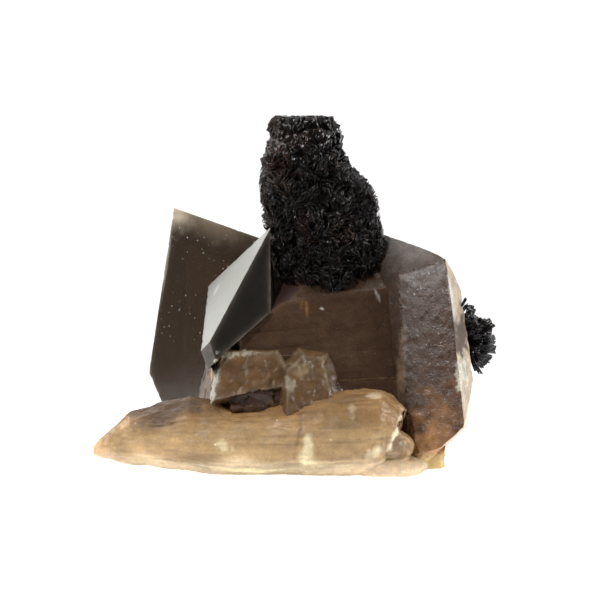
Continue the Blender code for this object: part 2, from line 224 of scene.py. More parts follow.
def withAlpha(tint):
    # Colours with a fourth number, 1.
    return np.concatenate([tint, np.ones((len(tint), 1))], axis=1)


def faceNormals(points, triangles):
    # The cross product of two sides: it looks outward, and is twice as long as the triangle is large.
    a, b, c = (points[triangles[:, i]] for i in range(3))
    return np.cross(b - a, c - a)


def pointNormals(points, triangles):
    # Each point looks the way the triangles round it look on average, the larger ones more.
    total = np.zeros_like(points)
    normals = faceNormals(points, triangles)
    for i in range(3):
        np.add.at(total, triangles[:, i], normals)
    return unit(total)


# Node helpers

def setInputs(tree, item, inputs):
    # A socket is linked, and anything else is set as a plain value.
    for name, value in inputs.items():
        if isinstance(value, bpy.types.NodeSocket):
            tree.links.new(value, item.inputs[name])
        else:
            item.inputs[name].default_value = value


def addNode(tree, kind, inputs=None, **settings):
    item = tree.nodes.new(kind)
    for name, value in settings.items():
        setattr(item, name, value)
    setInputs(tree, item, inputs or {})
    return item


def reckon(tree, operation, *values, **settings):
    # One sum on numbers or sockets.
    inputs = dict(enumerate(values))
    return addNode(tree, "ShaderNodeMath", inputs, operation=operation, **settings).outputs[0]


def remapped(tree, value, span, result, **settings):
    # A value carried in proportion from one span to another.
    inputs = {"Value": value, "From Min": span[0], "From Max": span[1],
              "To Min": result[0], "To Max": result[1]}
    return addNode(tree, "ShaderNodeMapRange", inputs, **settings).outputs[0]


def attribute(tree, name, output="Fac"):
    return addNode(tree, "ShaderNodeAttribute", attribute_name=name).outputs[output]


def effectGroup(name, inputs):
    # A node group with named number sockets and one mask, and its own input and output nodes.
    group = bpy.data.node_groups.new(name, "ShaderNodeTree")
    for label, value in inputs.items():
        socket = group.interface.new_socket(label, in_out="INPUT", socket_type="NodeSocketFloat")
        socket.default_value = value
    group.interface.new_socket("mask", in_out="OUTPUT", socket_type="NodeSocketFloat")
    given, out = group.nodes.new("NodeGroupInput"), group.nodes.new("NodeGroupOutput")
    return group, given.outputs, out.inputs["mask"]


def objectPlace(group, size):
    # Object coordinates divided by a size in millimetres.
    place = addNode(group, "ShaderNodeTexCoord").outputs["Object"]
    perSize = reckon(group, "DIVIDE", 1 / mm, size)
    return addNode(group, "ShaderNodeVectorMath", {0: place, "Scale": perSize}, operation="SCALE").outputs[0]


def mottleGroup():
    # Cloudy patches: noise of a given size, spread between low and high.
    group, given, mask = effectGroup("mottle", {"size": 1.0, "low": 0.0, "high": 1.0, "shift": 0.0})
    cloud = addNode(group, "ShaderNodeTexNoise", {
        "Vector": objectPlace(group, given["size"]), "W": given["shift"],
        "Scale": 1.0, "Detail": 4.0, "Roughness": 0.6}, noise_dimensions="4D").outputs["Fac"]
    group.links.new(remapped(group, cloud, (0.35, 0.65), (given["low"], given["high"])), mask)
    return group


def specksGroup():
    # Scattered dust: the middles of cells of a given size, in a share of the cells.
    group, given, mask = effectGroup("specks", {"size": 1.0, "dot": 0.12, "share": 0.5})
    cells = addNode(group, "ShaderNodeTexVoronoi", {
        "Vector": objectPlace(group, given["size"]), "Scale": 1.0, "Randomness": 1.0}).outputs
    near = reckon(group, "LESS_THAN", cells["Distance"], given["dot"])
    chosen = addNode(group, "ShaderNodeSeparateColor", {"Color": cells["Color"]}).outputs[0]
    kept = reckon(group, "LESS_THAN", chosen, given["share"])
    group.links.new(reckon(group, "MULTIPLY", near, kept), mask)
    return group


def etchingGroup():
    # Etched trails: strongest where a swirled noise passes through its middle value.
    group, given, mask = effectGroup("etching", {"size": 0.6, "width": 0.12})
    swirl = addNode(group, "ShaderNodeTexNoise", {
        "Vector": objectPlace(group, given["size"]), "Scale": 1.0, "Detail": 2.0,
        "Roughness": 0.55, "Distortion": 0.9}).outputs["Fac"]
    near = reckon(group, "ABSOLUTE", reckon(group, "SUBTRACT", swirl, 0.5))
    trail = remapped(group, near, (0.0, given["width"]), (1.0, 0.0), interpolation_type="SMOOTHSTEP")
    group.links.new(trail, mask)
    return group


mottle = mottleGroup()
specks = specksGroup()
etching = etchingGroup()


def useGroup(tree, group, **values):
    return addNode(tree, "ShaderNodeGroup", values, node_tree=group).outputs["mask"]


def newMaterial(name):
    material = bpy.data.materials.new(name)
    material.use_nodes = True
    tree = material.node_tree
    return material, tree, tree.nodes["Principled BSDF"]


def mixed(tree, share, first, second, blend="MIX"):
    # A colour mix: share may be a number or a socket, and so may both colours.
    inputs = {0: share, 6: first, 7: second}
    return addNode(tree, "ShaderNodeMix", inputs, data_type="RGBA", blend_type=blend).outputs[2]


def dimmed(tree, colour, shade):
    # A colour times a number.
    grey = addNode(tree, "ShaderNodeCombineColor", {0: shade, 1: shade, 2: shade}).outputs[0]
    return mixed(tree, 1.0, colour, grey, "MULTIPLY")


def wire(tree, shader, colour, rough, height, bump, plain):
    # Joins colour, roughness and height to the shader and sets its plain values. bump is strength and depth.
    strength, depth = bump
    inputs = {"Strength": strength, "Distance": depth * mm, "Height": height}
    lifted = addNode(tree, "ShaderNodeBump", inputs)
    setInputs(tree, shader, {"Base Color": colour, "Roughness": rough, "Normal": lifted.outputs[0], **plain})


# The dark quartz

darkQuartz = {
    "step": 0.29,                       # distance between points on a facet
    "transmission": 0.45, "specular": 0.22,
    "ior": 1.544,
    "absorption": (0.62, 0.45, 0.30, 1.0),
    "density": 620.0,
    "mergeWithin": 0.002,
    "flatWithin": 0.3,                  # triangles that meet at less than this many degrees are one facet
    "sharpOver": 4.0,                   # facets that meet at more than this many degrees meet in an edge
    "edgeChip": 0.16,
    "glowWidth": 0.28, "glow": 0.6,     # the pale rim along edges: painted light where edges thin out, laid over the pale colour of chipped edges
}

crystals = {
    "left": {
        "centre": (-14, 18, 20),
        "sides": {
            "front": (-19.9, -1.7, 3.0), "left": (-92.8, 9.7, 8.75), "tip": (143.1, 44.3, 8.5),
            "lowerLeft": (-83.7, -22.9, 13.25), "right": (78, -9, 12.5), "back": (162.5, 5.5, 3.6),
            "backLeft": (-141.5, 5.5, 6.2), "foot": (180, -90, 21.3),
        },
        "tint": (0.070, 0.048, 0.033), "frost": 0.16, "dust": 1.0, "cloud": 0.45,
        "relief": 0.012, "reliefSize": 2.2,
        "striae": 0.005, "striaeAcross": (0.42, 0, 0.91), "striaeGap": 0.6,
        "glow": (0.42, 0.35, 0.27),
    },
    "pointed": {
        "centre": (-7, 2, 22),
        "sides": {
            "tip": (-77.5, 34.8, 5.3), "frontLeft": (-49.8, 6.5, 11.85), "front": (6.4, 34.3, 7.45),
            "back": (125.6, -3.3, 1.45), "left": (-99.2, -28.8, 7.05), "right": (84, 5, 3.6),
            "under": (-175, -32, 10), "overgrowth": (76.6, -44.9, 2.5), "shaft": (6.4, 34.3, 4.4),
            "shaftTip": (-77.5, 34.8, 5.1), "shaftLeft": (-99.2, -28.8, 6.85),
            "shaftBack": (125.6, -3.3, 1.25), "shaftRight": (84, 5, 3.4),
        },
        "tint": (0.02, 0.017, 0.013), "frost": 0.12,
        "relief": 0.008, "reliefSize": 0.7,
        "striae": 0.006, "striaeAcross": (0.2, 0, 1), "striaeGap": 0.4,
        "glow": (0.30, 0.24, 0.2),
        # The tip's pale grey is a painted reflection of the soft light from the upper left, and it is
        # mottled less than the rest.
        "sideTint": {"left": (0.30, 0.26, 0.20), "frontLeft": (0.12, 0.10, 0.085),
                     "tip": (0.62, 0.62, 0.57)},
        "sideFrost": {"tip": 0.5}, "cloud": 0.6, "sideCloud": {"tip": 0.15},
        "flatSides": ("tip", "front"),
    },
    "middle": {
        "centre": (4, 4, 14),
        "sides": {
            "front": (12.4, 16.5, 9.6), "tip": (6.6, 52.4, 13), "leftTip": (-42.6, 61.4, 14),
            "left": (-72.5, 0, 16), "backLeft": (-130, 8, 6.5), "right": (114, 0, 12),
            "back": (174.5, 5.5, 9), "topBack": (180, 53, 13.5),
            "step0": (12.4, 16.5, 9.82), "step1": (12.4, 16.5, 10.06), "step2": (12.4, 16.5, 10.32),
        },
        "tint": (0.095, 0.052, 0.03), "frost": 0.2,
        "relief": 0.05, "reliefSize": 1.3,
        "cloud": 0.6,
        "striae": 0.10, "striaeAcross": (-0.06, 0.2, 1), "striaeGap": 0.5,
        "glow": (0.32, 0.2, 0.12),
        # The near-black tints of leftTip and left are painted shade of the recess by the tall spray's foot;
        # their high frost keeps them from reflecting.
        "sideTint": {"leftTip": (0.05, 0.014, 0.008), "left": (0.05, 0.016, 0.01)},
        "sideFrost": {"leftTip": 0.95, "left": 0.95},
    },
    "right": {
        "centre": (18, 3, 15),
        "sides": {
            "front": (-18.5, 14, 9.5), "smoothTip": (-40, 51.8, 14.6), "backTip": (118.7, 39.7, 9.95),
            "right": (62.9, 12.3, 9.7), "rightTip": (94.7, 25.8, 9.65), "farRight": (112, 2, 4),
            "underRight": (80, -8.5, 9.1), "lowerRight": (71, -45.5, 12.75),
            "lowerFront": (12, -52, 17.6), "left": (-63.2, 4.5, 6.85),
            "back": (174.5, 3, 9), "backLeft": (-127, 0, 12),
        },
        "tint": (0.105, 0.043, 0.016), "frost": 0.30,
        "relief": 0.048, "reliefSize": 0.8,
        "striae": 0.035, "striaeAcross": (1, 0, 0.08), "striaeGap": 0.5,
        "etch": 1.05, "sideEtch": {"smoothTip": 0.1, "left": 0.15, "rightTip": 0.2, "backTip": 0.2},
        "softSides": ("front", "left", "smoothTip"), "softDepth": 0.5, "softWidth": 1.1,
        "glow": (0.62, 0.42, 0.26),
        # The orange of underRight, lowerRight and lowerFront is painted light: the thin lower right corner
        # lit through, in the crystal's own orange-brown.
        "sideTint": {"smoothTip": (0.24, 0.205, 0.18), "left": (0.06, 0.038, 0.024),
                     "rightTip": (1.0, 1.0, 0.95), "backTip": (0.7, 0.62, 0.5),
                     "right": (0.75, 0.6, 0.42), "underRight": (0.8, 0.55, 0.28),
                     "lowerRight": (0.75, 0.42, 0.17), "lowerFront": (0.6, 0.38, 0.18)},
        "sideFrost": {"rightTip": 0.6, "right": 0.5},
        "flatSides": ("smoothTip", "left", "rightTip", "backTip"),
    },
    "oliveChip": {
        "centre": (-6, -4, 9),
        "sides": {"front": (9.3, 20.8, 7.15), "left": (-78.1, 13.6, 8.1), "top": (16.9, 81.5, 9),
                  "under": (25.8, -54.1, 0.95), "right": (69.1, 39.3, 8.2)},
        "tint": (0.19, 0.098, 0.032), "frost": 0.38, "etch": 0.8, "chips": (1.5, 0.22),
        "relief": 0.10, "reliefSize": 0.8,
        "striae": 0.05, "striaeAcross": (0.3, 0, 1), "striaeGap": 0.5,
        "glow": (0.5, 0.42, 0.3),
    },
    "darkChip": {
        "centre": (-6, -4, 8),
        "sides": {"front": (8, -18, 5.6), "left": (-70, 5, 6.2), "right": (70, 10, 7.6),
                  "top": (0, 80, 3.2)},
        "tint": (0.11, 0.05, 0.022), "frost": 0.3, "etch": 0.5, "chips": (1.1, 0.3),
        "relief": 0.10, "reliefSize": 0.7,
        "glow": (0.2, 0.14, 0.1),
    },
    "paleChip": {
        "centre": (1, -4, 8),
        "sides": {"front": (11.3, 26.8, 8.1), "left": (-70, 10, 6), "topLeft": (-53.5, 52.8, 9.15),
                  "top": (43.5, 74, 9.5), "right": (66.6, 23.7, 6.9)},
        "tint": (0.17, 0.088, 0.032), "frost": 0.38, "etch": 0.6, "chips": (1.8, 0.26),
        "relief": 0.10, "reliefSize": 0.8,
        "glow": (0.45, 0.36, 0.25),
    },
    "foot": {
        "centre": (-4, 9, 5),
        "sides": {
            "front": (-10, 12, 12), "left": (-84, 22, 11.5), "backLeft": (-140, 18, 11.8),
            "back": (172, 24, 10.4), "backRight": (128, 20, 17.5), "right": (82, 10, 18.4),
            "top": (190, 74, 6.6),
        },
        "tint": (0.24, 0.15, 0.08), "frost": 0.45, "etch": 0.6, "chips": (2.2, 0.3),
        "relief": 0.25, "reliefSize": 2.0,
        "glow": (0.5, 0.36, 0.24),
    },
}

darkMarks = [
    # The first three are painted light: the left crystal's thin top edge, top-left corner and left edge, lit
    # through.
    mark((-14.0, 14.3, 35.4), (10.0, 7, 4.6), (0.55, 0.43, 0.30), 0.85, turn=-19.5, ragged=0.10,
         fade=1.5, grain=1.6),
    mark((-20.2, 16.1, 38.0), (4.8, 4, 6.2), (1.0, 0.86, 0.66), turn=12, ragged=0.12, fade=0.9, grain=1.2),
    mark((-21.4, 16.5, 29.0), (0.5, 6, 9.5), (0.85, 0.80, 0.68), 0.75, turn=-8.4, ragged=0.1, fade=0.9,
         grain=1.5),
    # Painted shade in the gap between the left and pointed crystals.
    mark((-14.8, 1.4, 11.6), (1.6, 4.8, 4.4), (0.045, 0.028, 0.018), 0.95, ragged=0.2, fade=0.6, grain=1.2),
    mark((-12.9, 8.3, 25.0), (1.4, 4, 0.28), (1, 1, 0.98), 0.9, turn=62, ragged=0.2, fade=0.8),
    mark((1.0, -4.0, 23.0), (0.32, 1.5, 1.9), (0.42, 0.20, 0.05), 0.6, turn=5, ragged=0.25, fade=0.9,
         grain=0.9),
    mark((0.2, -3.8, 23.9), (0.28, 1.5, 1.2), (0.38, 0.19, 0.06), 0.5, turn=-9, ragged=0.25, fade=0.9,
         grain=0.9),
    mark((4.0, -2.4, 25.0), (10.0, 3.0, 2.4), (0.045, 0.026, 0.018), 0.75, fade=1.2, grain=1.6),
    mark((8.0, -5.0, 18.0), (5.0, 3.0, 4.0), (0.14, 0.085, 0.05), 0.5, ragged=0.8, fade=1.0, grain=2.0),
    mark((3.3, -3.6, 23.3), (0.22, 0.6, 0.22), (1, 0.95, 0.85), rise=0.05),
    # Painted shade in the dark recess beside the tall spray's foot, made rough so it reflects little.
    mark((-2.8, -0.3, 25.7), (2.2, 3.5, 3.4), (0.04, 0.012, 0.007), 0.95, fade=0.8, frost=0.95),
    mark((8.0, -6.5, 12.4), (9.0, 3.0, 0.7), (0.095, 0.052, 0.03), frost=0.2),
    # Painted highlight: a white streak along the edge where the middle and right crystals meet.
    mark((11.5, -1.2, 25.2), (0.26, 1.5, 1.5), (0.8, 0.78, 0.72), 0.8, turn=22, rise=0.06, frost=0.2,
         fade=0.8),
    mark((16.8, -4.2, 25.4), (0.10, 1.2, 0.30), (0.9, 0.86, 0.78), 0.8, turn=-8, rise=0.06),
    mark((14.9, -5.6, 14.0), (1.1, 2.4, 12), (0.30, 0.20, 0.13), 0.85, rise=0.2, fade=1.0, ragged=0.2),
    mark((17.0, -6.0, 14.0), (1.0, 2.4, 11), (0.09, 0.04, 0.018), 0.5, fade=1.0, ragged=0.4),
    # Painted light: the thin lower right corner lit through, in the crystal's own orange-brown.
    mark((20.5, -9.0, 3.5), (8.5, 7, 10.5), (0.64, 0.30, 0.10), 0.9, fade=1.3, ragged=0.35, grain=1.8),
    mark((23.7, -5.5, 19.7), (2.4, 7, 3.7), (0.075, 0.028, 0.009), 0.95, fade=0.45, ragged=0.35, grain=0.9),
    mark((22.2, -6.0, 25.5), (0.3, 3, 5.0), (1, 0.98, 0.92), 0.9, turn=7, ragged=0.15, fade=0.7, grain=1.2),
    mark((22.2, -6.5, 0.8), (2.0, 4.5, 2.4), (0.80, 0.60, 0.28), 0.9, rise=-0.6, fade=0.9, ragged=0.05,
         grain=1.5),
    mark((24.2, -7.0, 14.6), (0.22, 3.0, 2.6), (1.0, 0.98, 0.92), turn=8, rise=0.08, ragged=0.6),
    # Painted light in the same thin lower corner, lit through.
    mark((22.6, -9.0, 3.6), (0.9, 4, 3.6), (0.90, 0.47, 0.16), 0.7, turn=-42, fade=0.8, ragged=0.4),
    mark((18.6, -6.5, 0.9), (5.6, 7.0, 1.9), (0.88, 0.66, 0.30), 0.95, turn=6, rise=0.1, frost=0.6,
         fade=0.4),
    mark((20.4, -9.8, 2.8), (0.5, 1.0, 0.5), (0.95, 0.8, 0.6), 0.8, rise=0.1),
    mark((23.3, -8.0, 13.5), (0.9, 3.0, 3.2), (0.95, 0.88, 0.72), 0.9, ragged=0.5, rise=0.05),
    # Painted shade in the hollow under the olive chip, on the dark chip's face.
    mark((-6.6, -10.4, 11.0), (4.3, 1.6, 1.15), (0.10, 0.055, 0.04), 0.95, turn=6, rise=-0.2, fade=0.25),
    mark((-1.6, -11.1, 12.9), (1.1, 1.6, 1.5), (0.50, 0.43, 0.31), 0.55, rise=0.2, ragged=0.8, fade=0.9),
    mark((-0.2, -10.0, 15.2), (2.2, 1.6, 1.6), (0.44, 0.33, 0.19), 0.6, ragged=0.7, fade=0.8),
    mark((-12.4, -10.3, 13.6), (0.5, 3, 4.2), (0.80, 0.74, 0.60), 0.85, turn=-8, ragged=0.5, rise=0.06),
    mark((-9.6, -9.2, 17.2), (2.2, 2, 0.5), (0.66, 0.58, 0.44), 0.7, turn=4, ragged=0.8, rise=0.06),
    mark((-13.2, -11.0, 10.6), (1.0, 2.6, 0.9), (0.92, 0.82, 0.62), 0.85, ragged=0.5, rise=0.08),
    mark((-13.1, -5.2, 13.8), (0.5, 2.0, 1.3), (0.85, 0.42, 0.15), 0.9, ragged=0.4),
]


def placesOfSides():
    # Every side of every crystal as a plane: its direction, how far it is along that, and whose it is.
    directions, distances, owners, labels = [], [], [], []
    for number, (name, design) in enumerate(crystals.items()):
        for label, (turn, tilt, distance) in design["sides"].items():
            outward = facing(turn, tilt)
            directions.append(outward)
            distances.append(distance + outward @ np.array(design["centre"], float))
            owners.append(number)
            labels.append((name, label))
    return np.array(directions), np.array(distances), np.array(owners), labels


def leanOfBreak(x, belowTop):
    # How far a point of the long crystal is drawn to the left: nothing before leanFrom, and all at the end.
    end = longCrystal["stations"][-1][0]
    share = np.clip((x - longCrystal["leanFrom"]) / (end - longCrystal["leanFrom"]), 0, 1)
    return belowTop * longCrystal["lean"] * share


def addSolidLumps(bm):
    # The growths of its break as the solid has them, each a little larger, to cut them out too.
    for centre, radii in longCrystal["lumps"].values():
        made = bmesh.ops.create_icosphere(bm, subdivisions=2, radius=1.0)["verts"]
        grown = np.array(radii) + longCrystal["cutClearance"]
        bmesh.ops.scale(bm, vec=Vector(grown * mm), verts=made)
        bmesh.ops.translate(bm, vec=Vector((np.array(centre) + home) * mm), verts=made)


def solidLongCrystal():
    # The long crystal and its growths just as the solid has them, to cut them out of the dark quartz.
    noise.seed_set(longCrystal["solidSeed"])
    bm = bmesh.new()
    rings = []
    for x, low, high, depth in longCrystal["stations"]:
        ring = []
        for angle in longCrystal["solidSection"]:
            across, upward = math.cos(math.radians(angle)), math.sin(math.radians(angle))
            inward, upward = longCrystal["y"] + depth * across, (low + high) / 2 + (high - low) / 2 * upward
            point = Vector((x, inward, upward))
            wear = noise.noise_vector(point * longCrystal["solidWearScale"]) * longCrystal["solidWear"]
            point += wear * min(1.0, depth / 3)
            point.x -= leanOfBreak(x, high - point.z)
            middle = Vector((point.x, longCrystal["y"], (low + high) / 2))
            point += (point - middle).normalized() * longCrystal["cutClearance"]
            ring.append(bm.verts.new((point + Vector(home)) * mm))
        rings.append(ring)
    count = len(rings[0])
    for lower, upper in zip(rings, rings[1:]):
        for i in range(count):
            bm.faces.new((lower[i], lower[(i + 1) % count], upper[(i + 1) % count], upper[i]))
    for ring, out in ((rings[0], -1), (rings[-1], 1)):
        middle = sum((vert.co for vert in ring), Vector()) / count
        tip = bm.verts.new(middle + Vector((out * longCrystal["cutClearance"] * mm, 0, 0)))
        for i in range(count):
            bm.faces.new((ring[i], ring[(i + 1) % count], tip))
    bmesh.ops.recalc_face_normals(bm, faces=bm.faces[:])
    addSolidLumps(bm)
    mesh = bpy.data.meshes.new("longCrystalCutter")
    bm.to_mesh(mesh)
    bm.free()
    return placed("longCrystalCutter", mesh)


def darkQuartzFacets():
    # A copy of the quartz solid, less the long crystal, with its loose triangles merged into facets.
    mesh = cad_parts["smoky_quartz_cluster"].data.copy()
    bm = bmesh.new()
    bm.from_mesh(mesh)
    bmesh.ops.remove_doubles(bm, verts=bm.verts[:], dist=darkQuartz["mergeWithin"] * mm)
    bm.to_mesh(mesh)
    bm.free()
    item = placed("darkQuartzBlank", mesh)
    cutter = solidLongCrystal()
    cut = item.modifiers.new("cut", "BOOLEAN")
    cut.operation = "DIFFERENCE"
    cut.solver = "EXACT"
    cut.use_self = True
    cut.object = cutter
    bm = bmesh.new()
    bm.from_mesh(settled(item))
    bmesh.ops.remove_doubles(bm, verts=bm.verts[:], dist=darkQuartz["mergeWithin"] * mm)
    flat = math.radians(darkQuartz["flatWithin"])
    bmesh.ops.dissolve_limit(bm, angle_limit=flat, verts=bm.verts[:], edges=bm.edges[:])
    keepLargestBody(bm)
    for used in (item, cutter):
        bpy.data.objects.remove(used, do_unlink=True)
    return bm


def keepLargestBody(bm):
    # Drops the slivers that the cut leaves apart: faces are gathered by walking over shared edges.
    waiting = set(bm.faces)
    bodies = []
    while waiting:
        body = [waiting.pop()]
        for face in body:
            found = {near for edge in face.edges for near in edge.link_faces} & waiting
            waiting -= found
            body.extend(found)
        bodies.append(body)
    bodies.sort(key=len)
    for body in bodies[:-1]:
        bmesh.ops.delete(bm, geom=body, context="FACES")


def insideRim(places, rim, margin):
    # True for places inside a closed rim and farther than margin from it: crossings of a ray are counted.
    first, second = rim, np.roll(rim, -1, axis=0)
    run = second - first
    px, py = places[:, :1], places[:, 1:]
    spans = (first[:, 1] > py) != (second[:, 1] > py)
    slope = np.where(np.abs(run[:, 1]) < 1e-12, 1e-12, run[:, 1])
    crossing = px < first[:, 0] + run[:, 0] * (py - first[:, 1]) / slope
    inside = (spans & crossing).sum(axis=1) % 2 == 1
    along = ((px - first[:, 0]) * run[:, 0] + (py - first[:, 1]) * run[:, 1])
    share = np.clip(along / np.maximum((run ** 2).sum(axis=1), 1e-12), 0, 1)
    gap = np.hypot(px - first[:, 0] - share * run[:, 0], py - first[:, 1] - share * run[:, 1]).min(axis=1)
    return inside & (gap > margin)


def filledFacets(bm, step):
    # Every facet filled with points a step apart. Its rim is divided once, and shared with its neighbours.
    bm.verts.ensure_lookup_table()
    bm.edges.ensure_lookup_table()
    bm.verts.index_update()
    bm.edges.index_update()
    corners = np.array([vert.co for vert in bm.verts]) / mm - home
    blocks, borders, total = [corners], [], len(corners)
    for edge in bm.edges:
        a, b = (vert.index for vert in edge.verts)
        count = max(1, round(np.linalg.norm(corners[b] - corners[a]) / step))
        share = np.arange(1, count)[:, None] / count
        blocks.append(corners[a] + (corners[b] - corners[a]) * share)
        borders.append((a, np.arange(total, total + count - 1)))
        total += count - 1
    known = np.concatenate(blocks)
    blocks, triangles, facets = [known], [], []
    for number, face in enumerate(bm.faces):
        rim = []
        for loop in face.loops:
            start, between = borders[loop.edge.index]
            rim.append(loop.vert.index)
            rim.extend(between if start == loop.vert.index else between[::-1])
        rim = np.array(rim)
        normal = np.array(face.normal)
        sideways = unit(np.cross(normal, (0.31, 0.17, 0.93)))
        upward = np.cross(normal, sideways)
        origin = known[rim].mean(axis=0)
        flat = (known[rim] - origin) @ np.stack([sideways, upward], 1)
        low, high = flat.min(axis=0), flat.max(axis=0)
        rows = np.arange(low[1], high[1], step * 0.87)
        columns = np.arange(low[0], high[0], step)
        grid = np.stack(np.meshgrid(columns, rows), -1).astype(float)
        grid[1::2, :, 0] += step / 2
        grid = grid.reshape(-1, 2)
        wobble = [softNoise(np.c_[grid, np.full(len(grid), i)], 0.31, i) for i in (1, 2)]
        grid += np.stack(wobble, 1) * step * 0.18
        inner = grid[insideRim(grid, flat, step * 0.5)] if len(grid) else grid
        flatAll = np.concatenate([flat, inner])
        sides = [(i, (i + 1) % len(rim)) for i in range(len(rim))]
        found = geometry.delaunay_2d_cdt([Vector(p) for p in flatAll], sides, [], 1, 1e-7)
        numbers = np.concatenate([rim, np.arange(total, total + len(inner))])
        origins = np.array([source[0] if source else -1 for source in found[3]])
        if len(found[2]) and (origins >= 0).all():
            blocks.append(origin + inner @ np.stack([sideways, upward]))
            total += len(inner)
            triangles.append(numbers[origins[np.array([tuple(f) for f in found[2]])]])
        else:
            # A facet too thin to fill keeps only the points of its rim.
            plain = geometry.tessellate_polygon([[Vector(place) for place in known[rim]]])
            triangles.append(rim[np.array(plain).reshape(-1, 3)])
        facets.append(np.full(len(triangles[-1]), number))
    bm.free()
    return np.concatenate(blocks), np.concatenate(triangles), np.concatenate(facets)


def sideOfFacets(points, triangles, facets):
    # Which crystal's side each facet lies in: the plane that passes nearest through it, facing the same way.
    directions, distances, owners, labels = placesOfSides()
    normals = faceNormals(points, triangles)
    size = np.linalg.norm(normals, axis=1)
    total, middle = np.zeros((2, facets.max() + 1, 3))
    area = np.zeros(facets.max() + 1)
    np.add.at(total, facets, normals)
    np.add.at(middle, facets, points[triangles].mean(axis=1) * size[:, None])
    np.add.at(area, facets, size)
    middle /= np.maximum(area, 1e-12)[:, None]
    total = unit(total)
    miss = np.abs(middle @ directions.T - distances) + (1 - total @ directions.T) * 40
    side = miss.argmin(axis=1)
    lost = miss.min(axis=1) > 0.25
    centres = np.array([design["centre"] for design in crystals.values()], float)
    nearest = np.linalg.norm(middle[:, None] - centres, axis=2).argmin(axis=1)
    owner = np.where(lost, nearest, owners[side])
    return dict(side=side, owner=owner, lost=lost, labels=labels, normals=total)


def edgeDistance(points, directions, distances):
    # How far points of a body with flat sides are from its edges: the second smallest distance to a side.
    return np.sort(np.abs(points @ directions.T - distances), axis=1)[:, 1]


def ofFacets(known, key, plain, otherwise=0.0):
    # A value of each facet's side, or else of its crystal.
    designs = list(crystals.values())
    found = []
    for side, owner, lost in zip(known["side"], known["owner"], known["lost"]):
        ofSides = {} if lost else designs[owner].get(key, {})
        found.append(ofSides.get(known["labels"][side][1], designs[owner].get(plain, otherwise)))
    return np.array(found, float)


def darkQuartzRelief(points, triangles, facets, known):
    # Height at each point: noise, lines and chipped flats of its crystals, less the rounding of soft edges
    # and the chips along sharp ones. The distance from the nearest edge comes with it.
    directions, distances, owners, labels = placesOfSides()
    names = np.array([label for _, label in labels])
    designs = list(crystals.values())
    flat = [names[side] in designs[owner].get("flatSides", ()) and not lost
            for side, owner, lost in zip(known["side"], known["owner"], known["lost"])]
    share = np.zeros((len(points), len(designs)))
    flatness, rise, rounding = np.zeros((3, len(points)))
    for i in range(3):
        np.add.at(share, (triangles[:, i], known["owner"][facets]), 1)
        np.add.at(flatness, triangles[:, i], np.array(flat)[facets])
    corners = np.maximum(share.sum(axis=1), 1)
    share /= corners[:, None]
    edgeGap = np.full(len(points), 9.0)
    real = ~np.char.startswith(names, "step") & ~np.char.startswith(names, "shaft")
    for number, design in enumerate(designs):
        mine = share[:, number] > 0
        here = points[mine]
        height = design["relief"] * layered(here, design["reliefSize"], 4, seed=number)
        if "striae" in design:
            gap = design["striaeGap"]
            lines = here + 0.25 * softNoise(here, 3.0, 9)[:, None]
            lines = stretched(lines, design["striaeAcross"], gap, gap * 9)
            height += design["striae"] * layered(lines, 1.0, 3, seed=number + 20)
        rise[mine] += height * share[mine, number]
        if "chips" in design:
            size, depth = design["chips"]
            rise[mine] += depth * broken(here, size, number) * share[mine, number]
        own = (owners == number) & real
        edgeGap[mine] = np.minimum(edgeGap[mine], edgeDistance(here, directions[own], distances[own]))
        if "softSides" in design:
            soft = (owners == number) & np.isin(names, design["softSides"])
            gaps = edgeDistance(here, directions[soft], distances[soft])
            rounding[mine] = design["softDepth"] * np.exp(-gaps / design["softWidth"])
    rise = rise * (1 - 0.85 * flatness / corners) - rounding
    chips = np.maximum(0, layered(points, 0.8, 3, seed=40) - 0.25) * np.exp(-edgeGap / 0.3)
    return rise - darkQuartz["edgeChip"] * chips, edgeGap


